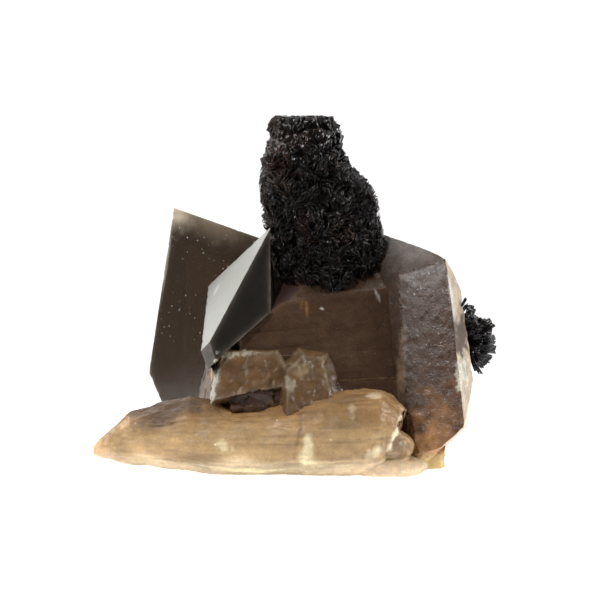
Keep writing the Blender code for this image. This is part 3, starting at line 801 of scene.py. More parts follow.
def colourDarkQuartz(item, points, triangles, facets, known, masks, edgeGap):
    # Tint, frost and finish. They belong to facets, so they are kept at the corners of triangles.
    # Returns which softened crystal each facet belongs to, or -1.
    directions, distances, _, labels = placesOfSides()
    cornerFacet, cornerPoint = np.repeat(facets, 3), triangles.ravel()
    tint = ofFacets(known, "sideTint", "tint")[cornerFacet]
    etch = ofFacets(known, "sideEtch", "etch")[cornerFacet]
    softGroup = np.full(len(known["side"]), -1)
    for number, (crystal, design) in enumerate(crystals.items()):
        if "softSides" not in design:
            continue
        # Across a softened edge the tints of both sides run into each other.
        names = design["softSides"]
        planes = [labels.index((crystal, name)) for name in names]
        softGroup[(known["owner"] == number) & np.isin(known["side"], planes) & ~known["lost"]] = number
        chosen = softGroup[cornerFacet] == number
        gaps = np.abs(points[cornerPoint[chosen]] @ directions[planes].T - distances[planes])
        weight = np.exp(-gaps / 1.5)
        weight /= weight.sum(axis=1, keepdims=True)
        tint[chosen] = weight @ np.array([design["sideTint"].get(name, design["tint"]) for name in names])
        etch[chosen] = weight @ np.array([design["sideEtch"].get(name, design["etch"]) for name in names])
    # Pale rim along edges: painted light where the crystals thin out at their edges, laid over the pale
    # colour of their chipped rims.
    glow = np.exp(-edgeGap / darkQuartz["glowWidth"]) * (0.6 + 0.4 * softNoise(points, 2.6, 50))
    glow = np.clip(glow, 0, 1)[cornerPoint, None] * darkQuartz["glow"]
    glow *= softGroup[cornerFacet][:, None] < 0
    tint = laid(tint, ofFacets(known, "", "glow")[cornerFacet], glow)
    frost = ofFacets(known, "sideFrost", "frost")[cornerFacet]
    for spot, mask in zip(darkMarks, masks):
        cover = (mask * spot["cover"])[cornerPoint]
        tint = laid(tint, np.array(spot["tint"]), cover[:, None])
        if spot["frost"] is not None:
            frost = laid(frost, spot["frost"], cover)
    # Dust lies in patches, and only high up.
    swarm = smoothStep(0.75 + 1.4 * softNoise(points, 4.5, 55)) * smoothStep((points[:, 2] - 14) / 6)
    dust = ofFacets(known, "", "dust")[cornerFacet] * swarm[cornerPoint]
    cloud = ofFacets(known, "sideCloud", "cloud", 1.0)[cornerFacet]
    addNumbers(item, "tint", withAlpha(tint), "FLOAT_COLOR", "CORNER")
    addNumbers(item, "frost", frost, "FLOAT", "CORNER")
    addNumbers(item, "finish", withAlpha(np.stack([dust, etch, cloud], -1)), "FLOAT_COLOR", "CORNER")
    return softGroup


def buildDarkQuartz(material):
    # Facets filled with points, then raised and lowered along the points' normals by each crystal's relief.
    plain, triangles, facets = filledFacets(darkQuartzFacets(), darkQuartz["step"])
    known = sideOfFacets(plain, triangles, facets)
    rise, edgeGap = darkQuartzRelief(plain, triangles, facets, known)
    masks = [markMask(plain, spot) for spot in darkMarks]
    for spot, mask in zip(darkMarks, masks):
        rise += spot["rise"] * mask
    points = np.clip(plain + pointNormals(plain, triangles) * rise[:, None], boxLow, boxHigh)
    item = newPiece("darkQuartz", points, triangles.ravel(), np.full(len(triangles), 3), material)
    softGroup = colourDarkQuartz(item, points, triangles, facets, known, masks, edgeGap)
    shadeFacets(item, facets, known["normals"], softGroup)
    print(f"dark quartz: {len(triangles)} triangles on {facets.max() + 1} facets")
    return item


def shadeFacets(item, facets, facetNormals, softGroup):
    # Smooth inside a facet, sharp where two facets meet at an angle, unless their edge is a softened one.
    mesh = item.data
    mesh.shade_smooth()
    edgeOfCorner = arrayOf(mesh.loops, "edge_index")
    order = np.argsort(edgeOfCorner, kind="stable")
    facetOfCorner = np.repeat(facets, 3)[order]
    edges = edgeOfCorner[order]
    paired = np.flatnonzero(edges[:-1] == edges[1:])
    first, second = facetOfCorner[paired], facetOfCorner[paired + 1]
    turn = (facetNormals[first] * facetNormals[second]).sum(axis=1)
    sharp = np.zeros(len(mesh.edges), bool)
    softened = (softGroup[first] == softGroup[second]) & (softGroup[first] >= 0)
    sharp[edges[paired]] = (turn < math.cos(math.radians(darkQuartz["sharpOver"]))) & ~softened
    layer = mesh.attributes.new("sharp_edge", "BOOLEAN", "EDGE")
    layer.data.foreach_set("value", sharp)


def darkQuartzMaterial():
    # Tint, mottled and dimmed along etched trails, with dust on it. finish holds each facet's share of them.
    material, tree, shader = newMaterial("smokyQuartz")
    finish = addNode(tree, "ShaderNodeSeparateColor", {0: attribute(tree, "finish", "Color")}).outputs
    cloud = useGroup(tree, mottle, size=1.6, low=0.72, high=1.22)
    fine = useGroup(tree, mottle, size=0.28, low=0.86, high=1.12, shift=3.0)
    dots = reckon(tree, "MAXIMUM", useGroup(tree, specks, size=0.8, dot=0.15, share=0.65),
                  useGroup(tree, specks, size=1.9, dot=0.09, share=0.6))
    etched = reckon(tree, "MULTIPLY", useGroup(tree, etching, size=0.85, width=0.12), finish[1])
    shade = reckon(tree, "MULTIPLY", cloud, fine)
    shade = addNode(tree, "ShaderNodeMix", {0: finish[2], 2: 1.0, 3: shade}).outputs[0]
    shade = reckon(tree, "MULTIPLY", shade, reckon(tree, "MULTIPLY_ADD", etched, -0.17, 1.0))
    body = dimmed(tree, attribute(tree, "tint", "Color"), shade)
    colour = mixed(tree, reckon(tree, "MULTIPLY", dots, finish[0]), body, (0.75, 0.7, 0.62, 1.0))
    gloss = useGroup(tree, mottle, size=0.5, low=-0.06, high=0.08, shift=7.0)
    rough = reckon(tree, "ADD", attribute(tree, "frost"), gloss)
    grain = reckon(tree, "MULTIPLY", useGroup(tree, mottle, size=0.22, shift=11.0), finish[2])
    height = reckon(tree, "MULTIPLY_ADD", etched, -1.1, grain)
    wire(tree, shader, colour, rough, height, (0.4, 0.04), {
        "IOR": darkQuartz["ior"], "Specular IOR Level": darkQuartz["specular"],
        "Transmission Weight": darkQuartz["transmission"]})
    smoke = addNode(tree, "ShaderNodeVolumeAbsorption",
                    {"Color": darkQuartz["absorption"], "Density": darkQuartz["density"]})
    setInputs(tree, tree.nodes["Material Output"], {"Volume": smoke.outputs[0]})
    return material


# The long milky crystal

longCrystal = {
    "y": -9.0,
    "stations": (                       # place along X, lowest and highest point, half depth
        (-30.2, 2.4, 3.6, 0.7), (-28.9, 1.9, 5.2, 2.0), (-26.7, 1.5, 7.1, 3.2), (-24.6, 1.3, 8.7, 4.0),
        (-21.4, 1.1, 9.5, 4.8), (-16.0, 0.3, 11.1, 5.8), (-12.9, -0.4, 10.5, 6.1), (-9.6, -0.5, 9.2, 6.3),
        (-5.0, -0.6, 9.4, 6.3), (0.0, -0.6, 10.5, 6.3), (4.6, -0.6, 11.2, 6.4), (8.9, -0.7, 11.5, 6.3),
        (11.9, -0.6, 11.7, 6.0), (13.8, -0.3, 10.6, 5.3), (15.3, 0.7, 9.2, 4.0),
    ),
    "solidSection": (14, 58, 96, 128, 163, 199, 236, 270, 305, 340),
    "solidWear": 0.28, "solidWearScale": 0.42, "solidSeed": 11,
    "cutClearance": 0.06,
    "lean": 0.34, "leanFrom": 8.9,      # the break at the right end: lower points lie farther left
    "lumps": {                          # growths in the break: centre and radii
        "endBulge": ((13.3, -10.5, 4.1), (3.1, 3.3, 2.4)),
        "lowerLip": ((12.8, -10.6, 1.0), (5.8, 3.6, 1.6)),
    },
    "rows": 220, "columns": 110, "endRows": 8,
    "skin": 0.17, "softening": 5,       # size of the faces of the fused body, and rounds of smoothing
    "pale": (0.44, 0.288, 0.136), "brown": (0.31, 0.175, 0.067), "base": (0.67, 0.54, 0.36),
    "rim": (0.97, 0.85, 0.6),
    "prism": 0.022,                     # how far the six edges stand out, as a share of the radius
    "lump": 0.16, "lumpSize": 2.6,
    "striae": 0.07, "striaeGap": 0.32, "striaeRun": 7.0,
    "ledge": 0.09, "ledgeGap": 1.3,
    "transmission": 0.22, "specular": 0.28,
    "milk": 0.35,
    "crackAt": 0.42, "crackStep": 0.22, # place along X, and how much higher the crystal is to its right
    "thin": 2.2,                        # half depth under which its relief calms down
}

milkyMarks = [
    mark((-29.3, -10.4, 3.8), (2.4, 4, 2.6), (0.95, 0.60, 0.34), 0.5, ragged=0.5, fade=0.9),
    mark((-20.0, -11.0, 10.4), (8.8, 7.0, 4.3), (0.095, 0.044, 0.014), 0.97, turn=12, ragged=0.2,
         fade=0.65, grain=1.8),
    mark((-12.5, -11.0, 11.2), (6.5, 6.0, 3.4), (0.09, 0.045, 0.02), 0.92, turn=-6, ragged=0.2, fade=0.7,
         grain=1.8),
    mark((13.6, -12.5, 4.4), (3.0, 4.5, 2.4), (0.24, 0.155, 0.085), 0.9, fade=0.6, ragged=0.2),
    mark((-25.0, -11.2, 7.4), (1.1, 2.5, 1.0), (0.92, 0.58, 0.32), 0.5, ragged=0.7),
    mark((-10.8, -15.0, 4.7), (1.7, 1.7, 1.3), (0.90, 0.78, 0.48), 0.6, turn=-30, rise=0.03, fade=0.9,
         ragged=0.35, grain=0.9),
    mark((0.9, -14.8, 3.9), (1.15, 2.2, 4.4), (0.88, 0.76, 0.49), 0.8, turn=-12, rise=0.04, fade=0.7,
         grain=1.3),
    mark((1.9, -14.4, 2.3), (2.1, 2.2, 1.4), (0.88, 0.76, 0.49), 0.6, turn=20, rise=0.03, fade=0.9,
         grain=1.1),
    mark((-0.35, -14.6, 5.6), (0.32, 2.0, 3.2), (0.20, 0.11, 0.05), 0.6, turn=-12, fade=0.9),
    mark((-7.2, -13.5, 1.1), (7.2, 2.2, 0.7), (0.92, 0.80, 0.49), 0.7, rise=0.06, fade=0.8, grain=1.0),
    mark((10.8, -14.8, 4.0), (2.0, 1.8, 1.2), (0.92, 0.82, 0.56), 0.7, turn=40, rise=0.05, fade=0.8,
         grain=0.9),
    # Painted shade in the hollow of the break.
    mark((14.6, -12.2, 7.2), (1.2, 2.6, 1.5), (0.34, 0.22, 0.11), 0.6, rise=-0.45, fade=0.9, ragged=0.4),
    mark((13.6, -13.2, 3.2), (1.6, 2.4, 0.5), (0.55, 0.42, 0.27), 0.7, rise=-0.25, fade=0.6, ragged=0.4),
    mark((7.4, -13.3, 9.6), (0.8, 1.5, 2.2), (0.80, 0.66, 0.45), 0.5, rise=0.03, ragged=0.35, fade=1.0,
         grain=1.0),
    mark((11.0, -10.6, 11.1), (1.7, 1.8, 0.9), (0.85, 0.70, 0.48), 0.6, rise=0.05, fade=0.8, grain=0.9),
    mark((12.6, -13.0, 1.1), (6.0, 4.0, 1.5), (0.60, 0.44, 0.28), 0.8, fade=0.6, ragged=0.4),
    mark((15.6, -12.0, 0.9), (1.8, 2.4, 0.5), (0.92, 0.82, 0.62), 0.7, fade=0.5, ragged=0.6),
    mark((4.5, -14.4, 5.8), (0.5, 1.0, 0.45), (0.97, 0.9, 0.7), 0.8, rise=0.05),
]


def longCrystalStation(x):
    # Lowest and highest point and half depth at any place along X, between the stations.
    places = np.array(longCrystal["stations"])
    return [np.interp(x, places[:, 0], places[:, i]) for i in (1, 2, 3)]


def longCrystalBlank(material):
    # The plain body: an ellipse carried along X, swelled six times round and cut aslant, with its growths.
    places = np.array(longCrystal["stations"])
    rows, columns, ends = longCrystal["rows"], longCrystal["columns"], longCrystal["endRows"]
    shrink = np.linspace(1, 0, ends + 1)[1:]
    x = np.linspace(places[0, 0], places[-1, 0], rows)
    x = np.concatenate([np.full(ends, x[0]), x, np.full(ends, x[-1])])
    close = np.concatenate([shrink[::-1], np.ones(rows), shrink])
    low, high, depth = longCrystalStation(x)
    x, turn = np.meshgrid(x, np.linspace(0, 2 * np.pi, columns, endpoint=False), indexing="ij")
    low, high, depth, close = (values[:, None] for values in (low, high, depth, close))
    radius = close * (1 + longCrystal["prism"] * np.cos(6 * (turn - 0.35)))
    upward = (low + high) / 2 + (high - low) / 2 * radius * np.sin(turn)
    inward = longCrystal["y"] + depth * radius * np.cos(turn)
    grid = np.stack([x - leanOfBreak(x, high - upward), inward, upward], -1)
    quads = gridQuads(len(grid), columns)[:, ::-1]
    item = newPiece("longCrystal", grid.reshape(-1, 3), quads.ravel(), np.full(len(quads), 4), material)
    weld(item)
    bm = bmesh.new()
    bm.from_mesh(item.data)
    for centre, radii in longCrystal["lumps"].values():
        made = bmesh.ops.create_icosphere(bm, subdivisions=4, radius=1.0)["verts"]
        bmesh.ops.scale(bm, vec=Vector(radii) * mm, verts=made)
        bmesh.ops.translate(bm, vec=Vector((np.array(centre) + home) * mm), verts=made)
    bm.to_mesh(item.data)
    bm.free()
    skin = item.modifiers.new("skin", "REMESH")
    skin.mode = "VOXEL"
    skin.voxel_size = longCrystal["skin"] * mm
    soften = item.modifiers.new("soften", "SMOOTH")
    soften.iterations = longCrystal["softening"]
    return item


def linedAlongX(points):
    # Space squeezed across X, so noise in it becomes lines along X.
    gap = longCrystal["striaeGap"]
    return points * [1 / longCrystal["striaeRun"], 1 / gap, 1 / gap]


def breakOf(points):
    # How far points are from the slanted break, how ragged it is there, and how much they belong to its pale
    # rim: those that lie just short of it, above the growths and on the viewer's side.
    high = longCrystalStation(points[:, 0])[1]
    end = longCrystal["stations"][-1][0]
    gap = end - leanOfBreak(end, high - points[:, 2]) - points[:, 0]
    ragged = 0.35 * layered(points, 1.3, 3, seed=65)
    rim = smoothStep((0.42 + 0.8 * ragged - np.abs(gap - 0.3)) / 0.35)
    rim *= smoothStep((points[:, 2] - 3.4) / 1.2)
    rim *= 0.85 * smoothStep((-9.5 - points[:, 1]) / 1.5)
    return gap, ragged, rim


def longCrystalRelief(points, masks):
    # Height at each point: lumps, lines along X, ledges, the crack's step, marks and the ragged break, and
    # less of them all where the crystal is thin.
    height = longCrystal["lump"] * layered(points, longCrystal["lumpSize"], 3, seed=60)
    height += longCrystal["striae"] * layered(linedAlongX(points), 1.0, 3, seed=61)
    drop = points * [0.35, 1, 1] + 0.6 * softNoise(points, 3.5, 62)[:, None]
    terrace = softNoise(drop, longCrystal["ledgeGap"], 63) * 3
    level = np.floor(terrace)
    height += longCrystal["ledge"] * (level + smoothStep((terrace - level) * 6) - 0.5)
    beyond = points[:, 0] - (longCrystal["crackAt"] + 0.25 * softNoise(points * [0, 1, 1], 0.9, 64))
    height += longCrystal["crackStep"] * smoothStep(beyond / 0.12) * smoothStep((14 - points[:, 0]) / 3)
    for spot, mask in zip(milkyMarks, masks):
        height += spot["rise"] * mask
    gap, ragged, rim = breakOf(points)
    height += 0.07 * rim + 0.35 * ragged * np.exp(-np.abs(gap) / 0.8)
    return height * smoothStep(longCrystalStation(points[:, 0])[2] / longCrystal["thin"])


def longCrystalTint(points, masks):
    # Pale low down and brown above, cream at the very base, clouded and lined, then its marks and pale rim.
    tone = layered(points * [0.5, 1, 1], 2.4, 4, seed=70)
    lines = layered(linedAlongX(points), 1.3, 3, seed=71)[:, None]
    upper = smoothStep((points[:, 2] - 6.0 + 0.8 * tone) / 3.5)[:, None]
    low = smoothStep((3.6 - points[:, 2] + 0.6 * tone) / 2.2)[:, None] * 0.8
    pale, brown, base, edge = (np.array(longCrystal[name]) for name in ("pale", "brown", "base", "rim"))
    tint = laid(laid(pale, brown, upper), base, low)
    tint = tint * (1 + 0.26 * tone[:, None] + 0.20 * lines)
    for spot, mask in zip(milkyMarks, masks):
        cover = (mask * spot["cover"])[:, None]
        tint = tint * (1 - cover) + np.array(spot["tint"]) * cover * (1 + 0.15 * lines)
    return np.clip(laid(tint, edge, breakOf(points)[2][:, None]), 0.01, 1)


def buildLongCrystal(material):
    # The fused blank, raised and lowered along its normals by its own relief, and tinted point by point.
    blank = longCrystalBlank(material)
    mesh = settled(blank)
    bpy.data.objects.remove(blank, do_unlink=True)
    points = arrayOf(mesh.vertices, "co", 3, np.float32).astype(float) / mm - home
    outward = arrayOf(mesh.vertices, "normal", 3, np.float32).astype(float)
    masks = [markMask(points, spot) for spot in milkyMarks]
    moved = points + outward * longCrystalRelief(points, masks)[:, None]
    moved = np.clip(moved, boxLow + [0.01, 0, 0], boxHigh)
    corners, sizes = arrayOf(mesh.loops, "vertex_index"), arrayOf(mesh.polygons, "loop_total")
    item = newPiece("longCrystal", moved, corners, sizes, material)
    addNumbers(item, "tint", withAlpha(longCrystalTint(points, masks)), "FLOAT_COLOR", "POINT")
    item.data.shade_smooth()
    print(f"long crystal: {len(item.data.polygons)} faces")
    return item


def weld(item):
    # Closes a grid's seam and poles by merging points that lie together.
    bm = bmesh.new()
    bm.from_mesh(item.data)
    bmesh.ops.remove_doubles(bm, verts=bm.verts[:], dist=1e-7)
    bmesh.ops.dissolve_degenerate(bm, edges=bm.edges[:], dist=1e-8)
    bmesh.ops.recalc_face_normals(bm, faces=bm.faces[:])
    bm.to_mesh(item.data)
    bm.free()


def milkyQuartzMaterial():
    # Tint, mottled, with dust on it, and milky inside.
    material, tree, shader = newMaterial("milkyQuartz")
    cloud = useGroup(tree, mottle, size=1.1, low=0.86, high=1.10, shift=1.0)
    fine = useGroup(tree, mottle, size=0.25, low=0.9, high=1.08, shift=4.0)
    body = dimmed(tree, attribute(tree, "tint", "Color"), reckon(tree, "MULTIPLY", cloud, fine))
    dust = useGroup(tree, specks, size=1.7, dot=0.06, share=0.3)
    colour = mixed(tree, dust, body, (0.95, 0.9, 0.78, 1.0))
    rough = useGroup(tree, mottle, size=0.6, low=0.32, high=0.52, shift=8.0)
    relief = useGroup(tree, mottle, size=0.3, shift=12.0)
    wire(tree, shader, colour, rough, relief, (0.4, 0.06), {
        "IOR": darkQuartz["ior"], "Specular IOR Level": longCrystal["specular"],
        "Transmission Weight": longCrystal["transmission"], "Subsurface Weight": longCrystal["milk"],
        "Subsurface Radius": (1.0, 0.7, 0.45), "Subsurface Scale": 1.2 * mm})
    return material


# Goethite

tallSpray = {
    "rings": (                          # height, left and right edge, front and back edge
        (51.7, -3.9, 5.0, 1.4, 9.4), (49.4, -4.1, 6.0, 0.4, 10.2), (47.0, -4.9, 6.2, -0.2, 10.8),
        (44.2, -5.7, 7.7, -1.0, 11.8), (42.2, -6.1, 10.0, -1.8, 12.6), (39.6, -5.9, 11.6, -2.4, 13.2),
        (35.8, -5.6, 12.1, -2.8, 13.6), (32.4, -4.6, 13.1, -2.8, 13.6), (30.2, -4.0, 12.6, -2.6, 13.2),
        (27.4, -3.4, 11.4, -2.8, 12.6), (24.4, -2.2, 10.4, -2.2, 11.4), (21.0, 0.0, 8.6, 0.0, 9.6),
    ),
    "top": 51.7, "fansFrom": 24.0, "headFrom": 46.2,
    "coreSpan": (22.4, 51.35), "coreRows": 130, "coreColumns": 150,
    "coreInset": 1.5, "headInset": 0.5, # how far the heart lies inside the outline
    "coreLumps": 0.5, "coreSeed": 3,
    "rosettes": 95,
    "bundles": 2150, "perBundle": 8,
    "lathLength": (1.3, 3.1), "lathWidth": (0.12, 0.27), "lathThick": (0.05, 0.10),
    "fan": 0.30,
    "headBundles": 120, "perHeadBundle": 5, "crown": 300,
    "headLength": (1.6, 3.4), "headWidth": (0.7, 1.7), "headThick": (0.3, 0.6), "bluntTip": (0.85, 0.75),
    "seed": 21,
}

tuftSpray = {
    "centre": (25.2, 2.2, 18.9),
    "core": (1.5, 2.0, 2.7),
    "tips": (
        (25.3, 0.6, 23.0), (27.9, 0.4, 21.3), (28.9, 1.0, 21.1), (29.3, 2.6, 19.6),
        (29.5, 1.6, 18.4), (29.3, 3.2, 17.2), (28.8, 1.2, 16.6), (28.4, 2.8, 15.2),
        (27.7, 0.8, 14.4), (26.9, 1.8, 13.1), (27.3, -0.8, 17.4), (27.0, -0.6, 20.1),
        (26.8, 4.8, 21.4), (27.6, 5.4, 18.9), (27.0, 5.2, 16.2), (26.2, 3.9, 23.0),
        (28.5, 4.2, 20.4), (28.0, -0.2, 18.9), (25.9, -0.7, 15.4), (26.0, 4.6, 14.3),
    ),
    "perTip": 3, "between": 16, "bluntTip": (0.9, 0.8), "bladeTip": (0.95, 0.9),
    "bladeSteps": (-0.36, -0.12, 0.13, 0.37),   # where a large blade's four laths lie across it
    "width": (0.5, 1.0), "thick": (0.3, 0.5),
    "blades": (                         # the large blades of the viewer's side: root, tip, width, thickness
        ((25.3, 0.4, 18.2), (29.1, 0.3, 20.9), 1.35, 0.6),
        ((25.3, 0.2, 18.4), (28.1, -0.3, 21.2), 0.9, 0.5),
        ((25.0, 0.0, 17.6), (29.6, 0.2, 18.6), 0.75, 0.5),
        ((25.0, 0.4, 17.2), (29.7, 0.8, 17.9), 0.7, 0.5),
        ((25.0, -0.2, 17.0), (29.5, -0.3, 17.1), 0.75, 0.5),
        ((25.0, 0.2, 16.7), (29.6, 0.4, 16.4), 0.7, 0.5),
        ((25.0, -0.3, 16.4), (28.9, -0.5, 15.4), 0.8, 0.5),
        ((25.0, 0.3, 16.2), (28.6, 0.4, 14.5), 0.7, 0.5),
        ((25.0, -0.2, 16.0), (27.9, -0.3, 13.9), 0.7, 0.45),
        ((25.2, -0.9, 16.3), (27.2, -1.1, 13.0), 0.5, 0.45),
        ((24.2, -1.6, 21.6), (25.6, -1.9, 22.9), 0.55, 0.35),
        ((24.0, -2.4, 22.6), (25.0, -2.8, 24.0), 0.5, 0.3),
        ((24.3, -1.2, 20.6), (26.1, -1.5, 22.0), 0.6, 0.4),
        ((24.0, -3.0, 23.6), (24.6, -3.5, 24.9), 0.4, 0.3),
        ((24.6, -0.8, 19.6), (26.8, -1.0, 21.0), 0.6, 0.4),
        ((24.8, -1.0, 18.6), (27.2, -1.6, 18.9), 0.6, 0.4),
        ((24.8, -1.2, 17.4), (26.9, -2.0, 16.6), 0.6, 0.4),
        ((24.6, -1.4, 19.0), (26.2, -2.2, 19.8), 0.5, 0.4),
    ),
    "seed": 22,
}


def ovalAt(height):
    # Middle and half width of the tall spray's outline, across and in depth, between the rings that give it.
    rings = np.array(tallSpray["rings"])[::-1]
    left, right, front, back = (np.interp(height, rings[:, 0], rings[:, i]) for i in (1, 2, 3, 4))
    return (left + right) / 2, (front + back) / 2, (right - left) / 2, (back - front) / 2


def outlineAt(height, angle, inset=0.0):
    # The point on the tall spray's outline: an oval at each height.
    x, y, halfX, halfY = ovalAt(height)
    return np.stack([x + (halfX - inset) * np.cos(angle), y + (halfY - inset) * np.sin(angle), height], -1)


def outlineNormal(height, angle):
    # Outward from the outline: the cross product of its run round and its run upward.
    along = outlineAt(height, angle + 0.02) - outlineAt(height, angle - 0.02)
    upward = outlineAt(np.minimum(height + 0.4, tallSpray["top"]), angle) - outlineAt(height - 0.4, angle)
    return unit(np.cross(along, upward))


def insideOutline(tips):
    # A tip that would pass the outline by more than a hair is drawn back to it, towards the middle.
    x, y, halfX, halfY = ovalAt(tips[:, 2])
    middle = np.stack([x, y], -1)
    out = (tips[:, :2] - middle) / np.stack([halfX, halfY], -1)
    share = np.maximum(np.linalg.norm(out, axis=1) / 1.03, 1)[:, None]
    return np.concatenate([middle + (tips[:, :2] - middle) / share, tips[:, 2:]], axis=1)


def lathPoints(roots, tips, sideways, width, thick, bend, tipShare=(0.62, 0.3)):
    # A flat bar of three rings of four points: its root, its middle pushed by bend, and a narrower tip.
    along = unit(tips - roots)
    wide = unit(lessAlong(sideways, along))
    deep = np.cross(along, wide)
    shape = np.array([[-1, -1], [1, -1], [1, 1], [-1, 1]], float) / 2
    rings = []
    for share, wideShare, thickShare in ((0.0, 0.75, 1.0), (0.55, 1.0, 1.0), (1.0, *tipShare)):
        middle = roots + (tips - roots) * share + bend * (1 - (2 * share - 1) ** 2)
        offset = (wide[:, None] * (shape[:, 0] * wideShare)[None, :, None] * width[:, None, None]
                  + deep[:, None] * (shape[:, 1] * thickShare)[None, :, None] * thick[:, None, None])
        rings.append(middle[:, None] + offset)
    return np.stack(rings, 1)


lathFaces = np.array([
    [0, 3, 2, 1], [8, 9, 10, 11],
    [0, 1, 5, 4], [1, 2, 6, 5], [2, 3, 7, 6], [3, 0, 4, 7],
    [4, 5, 9, 8], [5, 6, 10, 9], [6, 7, 11, 10], [7, 4, 8, 11],
])


def buildLaths(name, parts, material):
    # Joins laths into one mesh. Each lath keeps a tone of its own and a place across its width.
    rings = np.concatenate([lathPoints(*part["shape"]) for part in parts])
    tone = np.concatenate([part["tone"] for part in parts])
    points = np.clip(rings.reshape(-1, 3), boxLow, boxHigh)
    count = len(rings)
    faces = (lathFaces[None] + 12 * np.arange(count)[:, None, None]).reshape(-1, 4)
    item = newPiece(name, points, faces.ravel(), np.full(len(faces), 4), material)
    addNumbers(item, "tone", np.repeat(tone, 12))
    grain = np.tile([-1, 1, 1, -1], 3 * count) + np.repeat(np.arange(count) * 3.7, 12)
    addNumbers(item, "grain", grain)
    print(f"{name}: {count} laths")
    return item


def toneAt(points, dice):
    # Brown rust is strongest in patches; the rest is near black.
    rust = smoothStep(layered(points, 3.0, 3, seed=80) * 1.2 - 0.15)
    return np.clip(rust * 0.6 + dice.uniform(0, 0.25, len(points)), 0, 1)


def between(dice, span, count):
    return dice.uniform(span[0], span[1], count)


def anywhere(dice, span, count):
    # Random heights in a span, and random turns round the tall spray.
    return between(dice, span, count), dice.uniform(0, 2 * np.pi, count)


def combs(count, each):
    # For count combs of laths: which comb each lath is in, and its place across it from -1 to 1.
    return np.repeat(np.arange(count), each), np.tile(np.linspace(-1, 1, each), count)


def bodyLaths():
    # Fans of laths. Each fan's middle points away from the nearest rosette's heart and out of the surface.
    dice = np.random.default_rng(tallSpray["seed"])
    count, each = tallSpray["bundles"], tallSpray["perBundle"]
    total = count * each
    span = (tallSpray["fansFrom"], tallSpray["headFrom"] + 1.2)
    height, angle = anywhere(dice, span, count)
    hearts = outlineAt(*anywhere(dice, span, tallSpray["rosettes"]), tallSpray["coreInset"])
    edge = outlineAt(height, angle)
    outward = outlineNormal(height, angle)
    away = edge[:, None] - hearts[None]
    away = away[np.arange(count), np.linalg.norm(away, axis=2).argmin(axis=1)]
    tangent = lessAlong(away, outward)
    lean = np.clip(np.linalg.norm(tangent, axis=1) / 2.4, 0.25, 1.2)[:, None]
    middle = unit(outward * 0.55 + unit(tangent) * lean + np.array([0, 0, 0.25])
                  + 0.45 * dice.normal(size=(count, 3)))
    # Every fan keeps some outward lean, so its root is always inside.
    middle = unit(middle + outward * np.maximum(0, 0.35 - (middle * outward).sum(-1, keepdims=True)))
    twist = dice.uniform(0, np.pi, count)[:, None]
    flatWay = unit(np.cross(middle, outward + 0.3 * dice.normal(size=(count, 3))))
    otherWay = np.cross(middle, flatWay)
    fanWay = flatWay * np.cos(twist) + otherWay * np.sin(twist)
    faceWay = otherWay * np.cos(twist) - flatWay * np.sin(twist)
    reach = dice.uniform(0.0, 1.0, count) ** 2 * 1.1
    heel = edge - outward * reach[:, None] - middle * dice.uniform(1.6, 2.6, count)[:, None]
    pick, spread = combs(count, each)
    spread = spread + dice.normal(0, 0.12, total)
    fan = dice.uniform(0.35, 1.0, count)[pick] * tallSpray["fan"] * spread
    length = between(dice, tallSpray["lathLength"], count)[pick] * dice.uniform(0.78, 1.06, total)
    way = unit(middle[pick] * np.cos(fan)[:, None] + fanWay[pick] * np.sin(fan)[:, None]
               + 0.13 * dice.normal(size=(total, 3)))
    roots = heel[pick] + fanWay[pick] * (spread * 0.45)[:, None] + 0.12 * dice.normal(size=(total, 3))
    tips = insideOutline(roots + way * length[:, None])
    width = between(dice, tallSpray["lathWidth"], total)
    thick = between(dice, tallSpray["lathThick"], total)
    bend = (faceWay[pick] * dice.uniform(-0.12, 0.12, count)[pick, None]) * length[:, None]
    sideways = fanWay[pick] + 0.25 * faceWay[pick] * dice.normal(size=(total, 1))
    tone = toneAt(tips, dice)
    return dict(shape=(roots, tips, sideways, width, thick, bend), tone=tone), angle[pick]


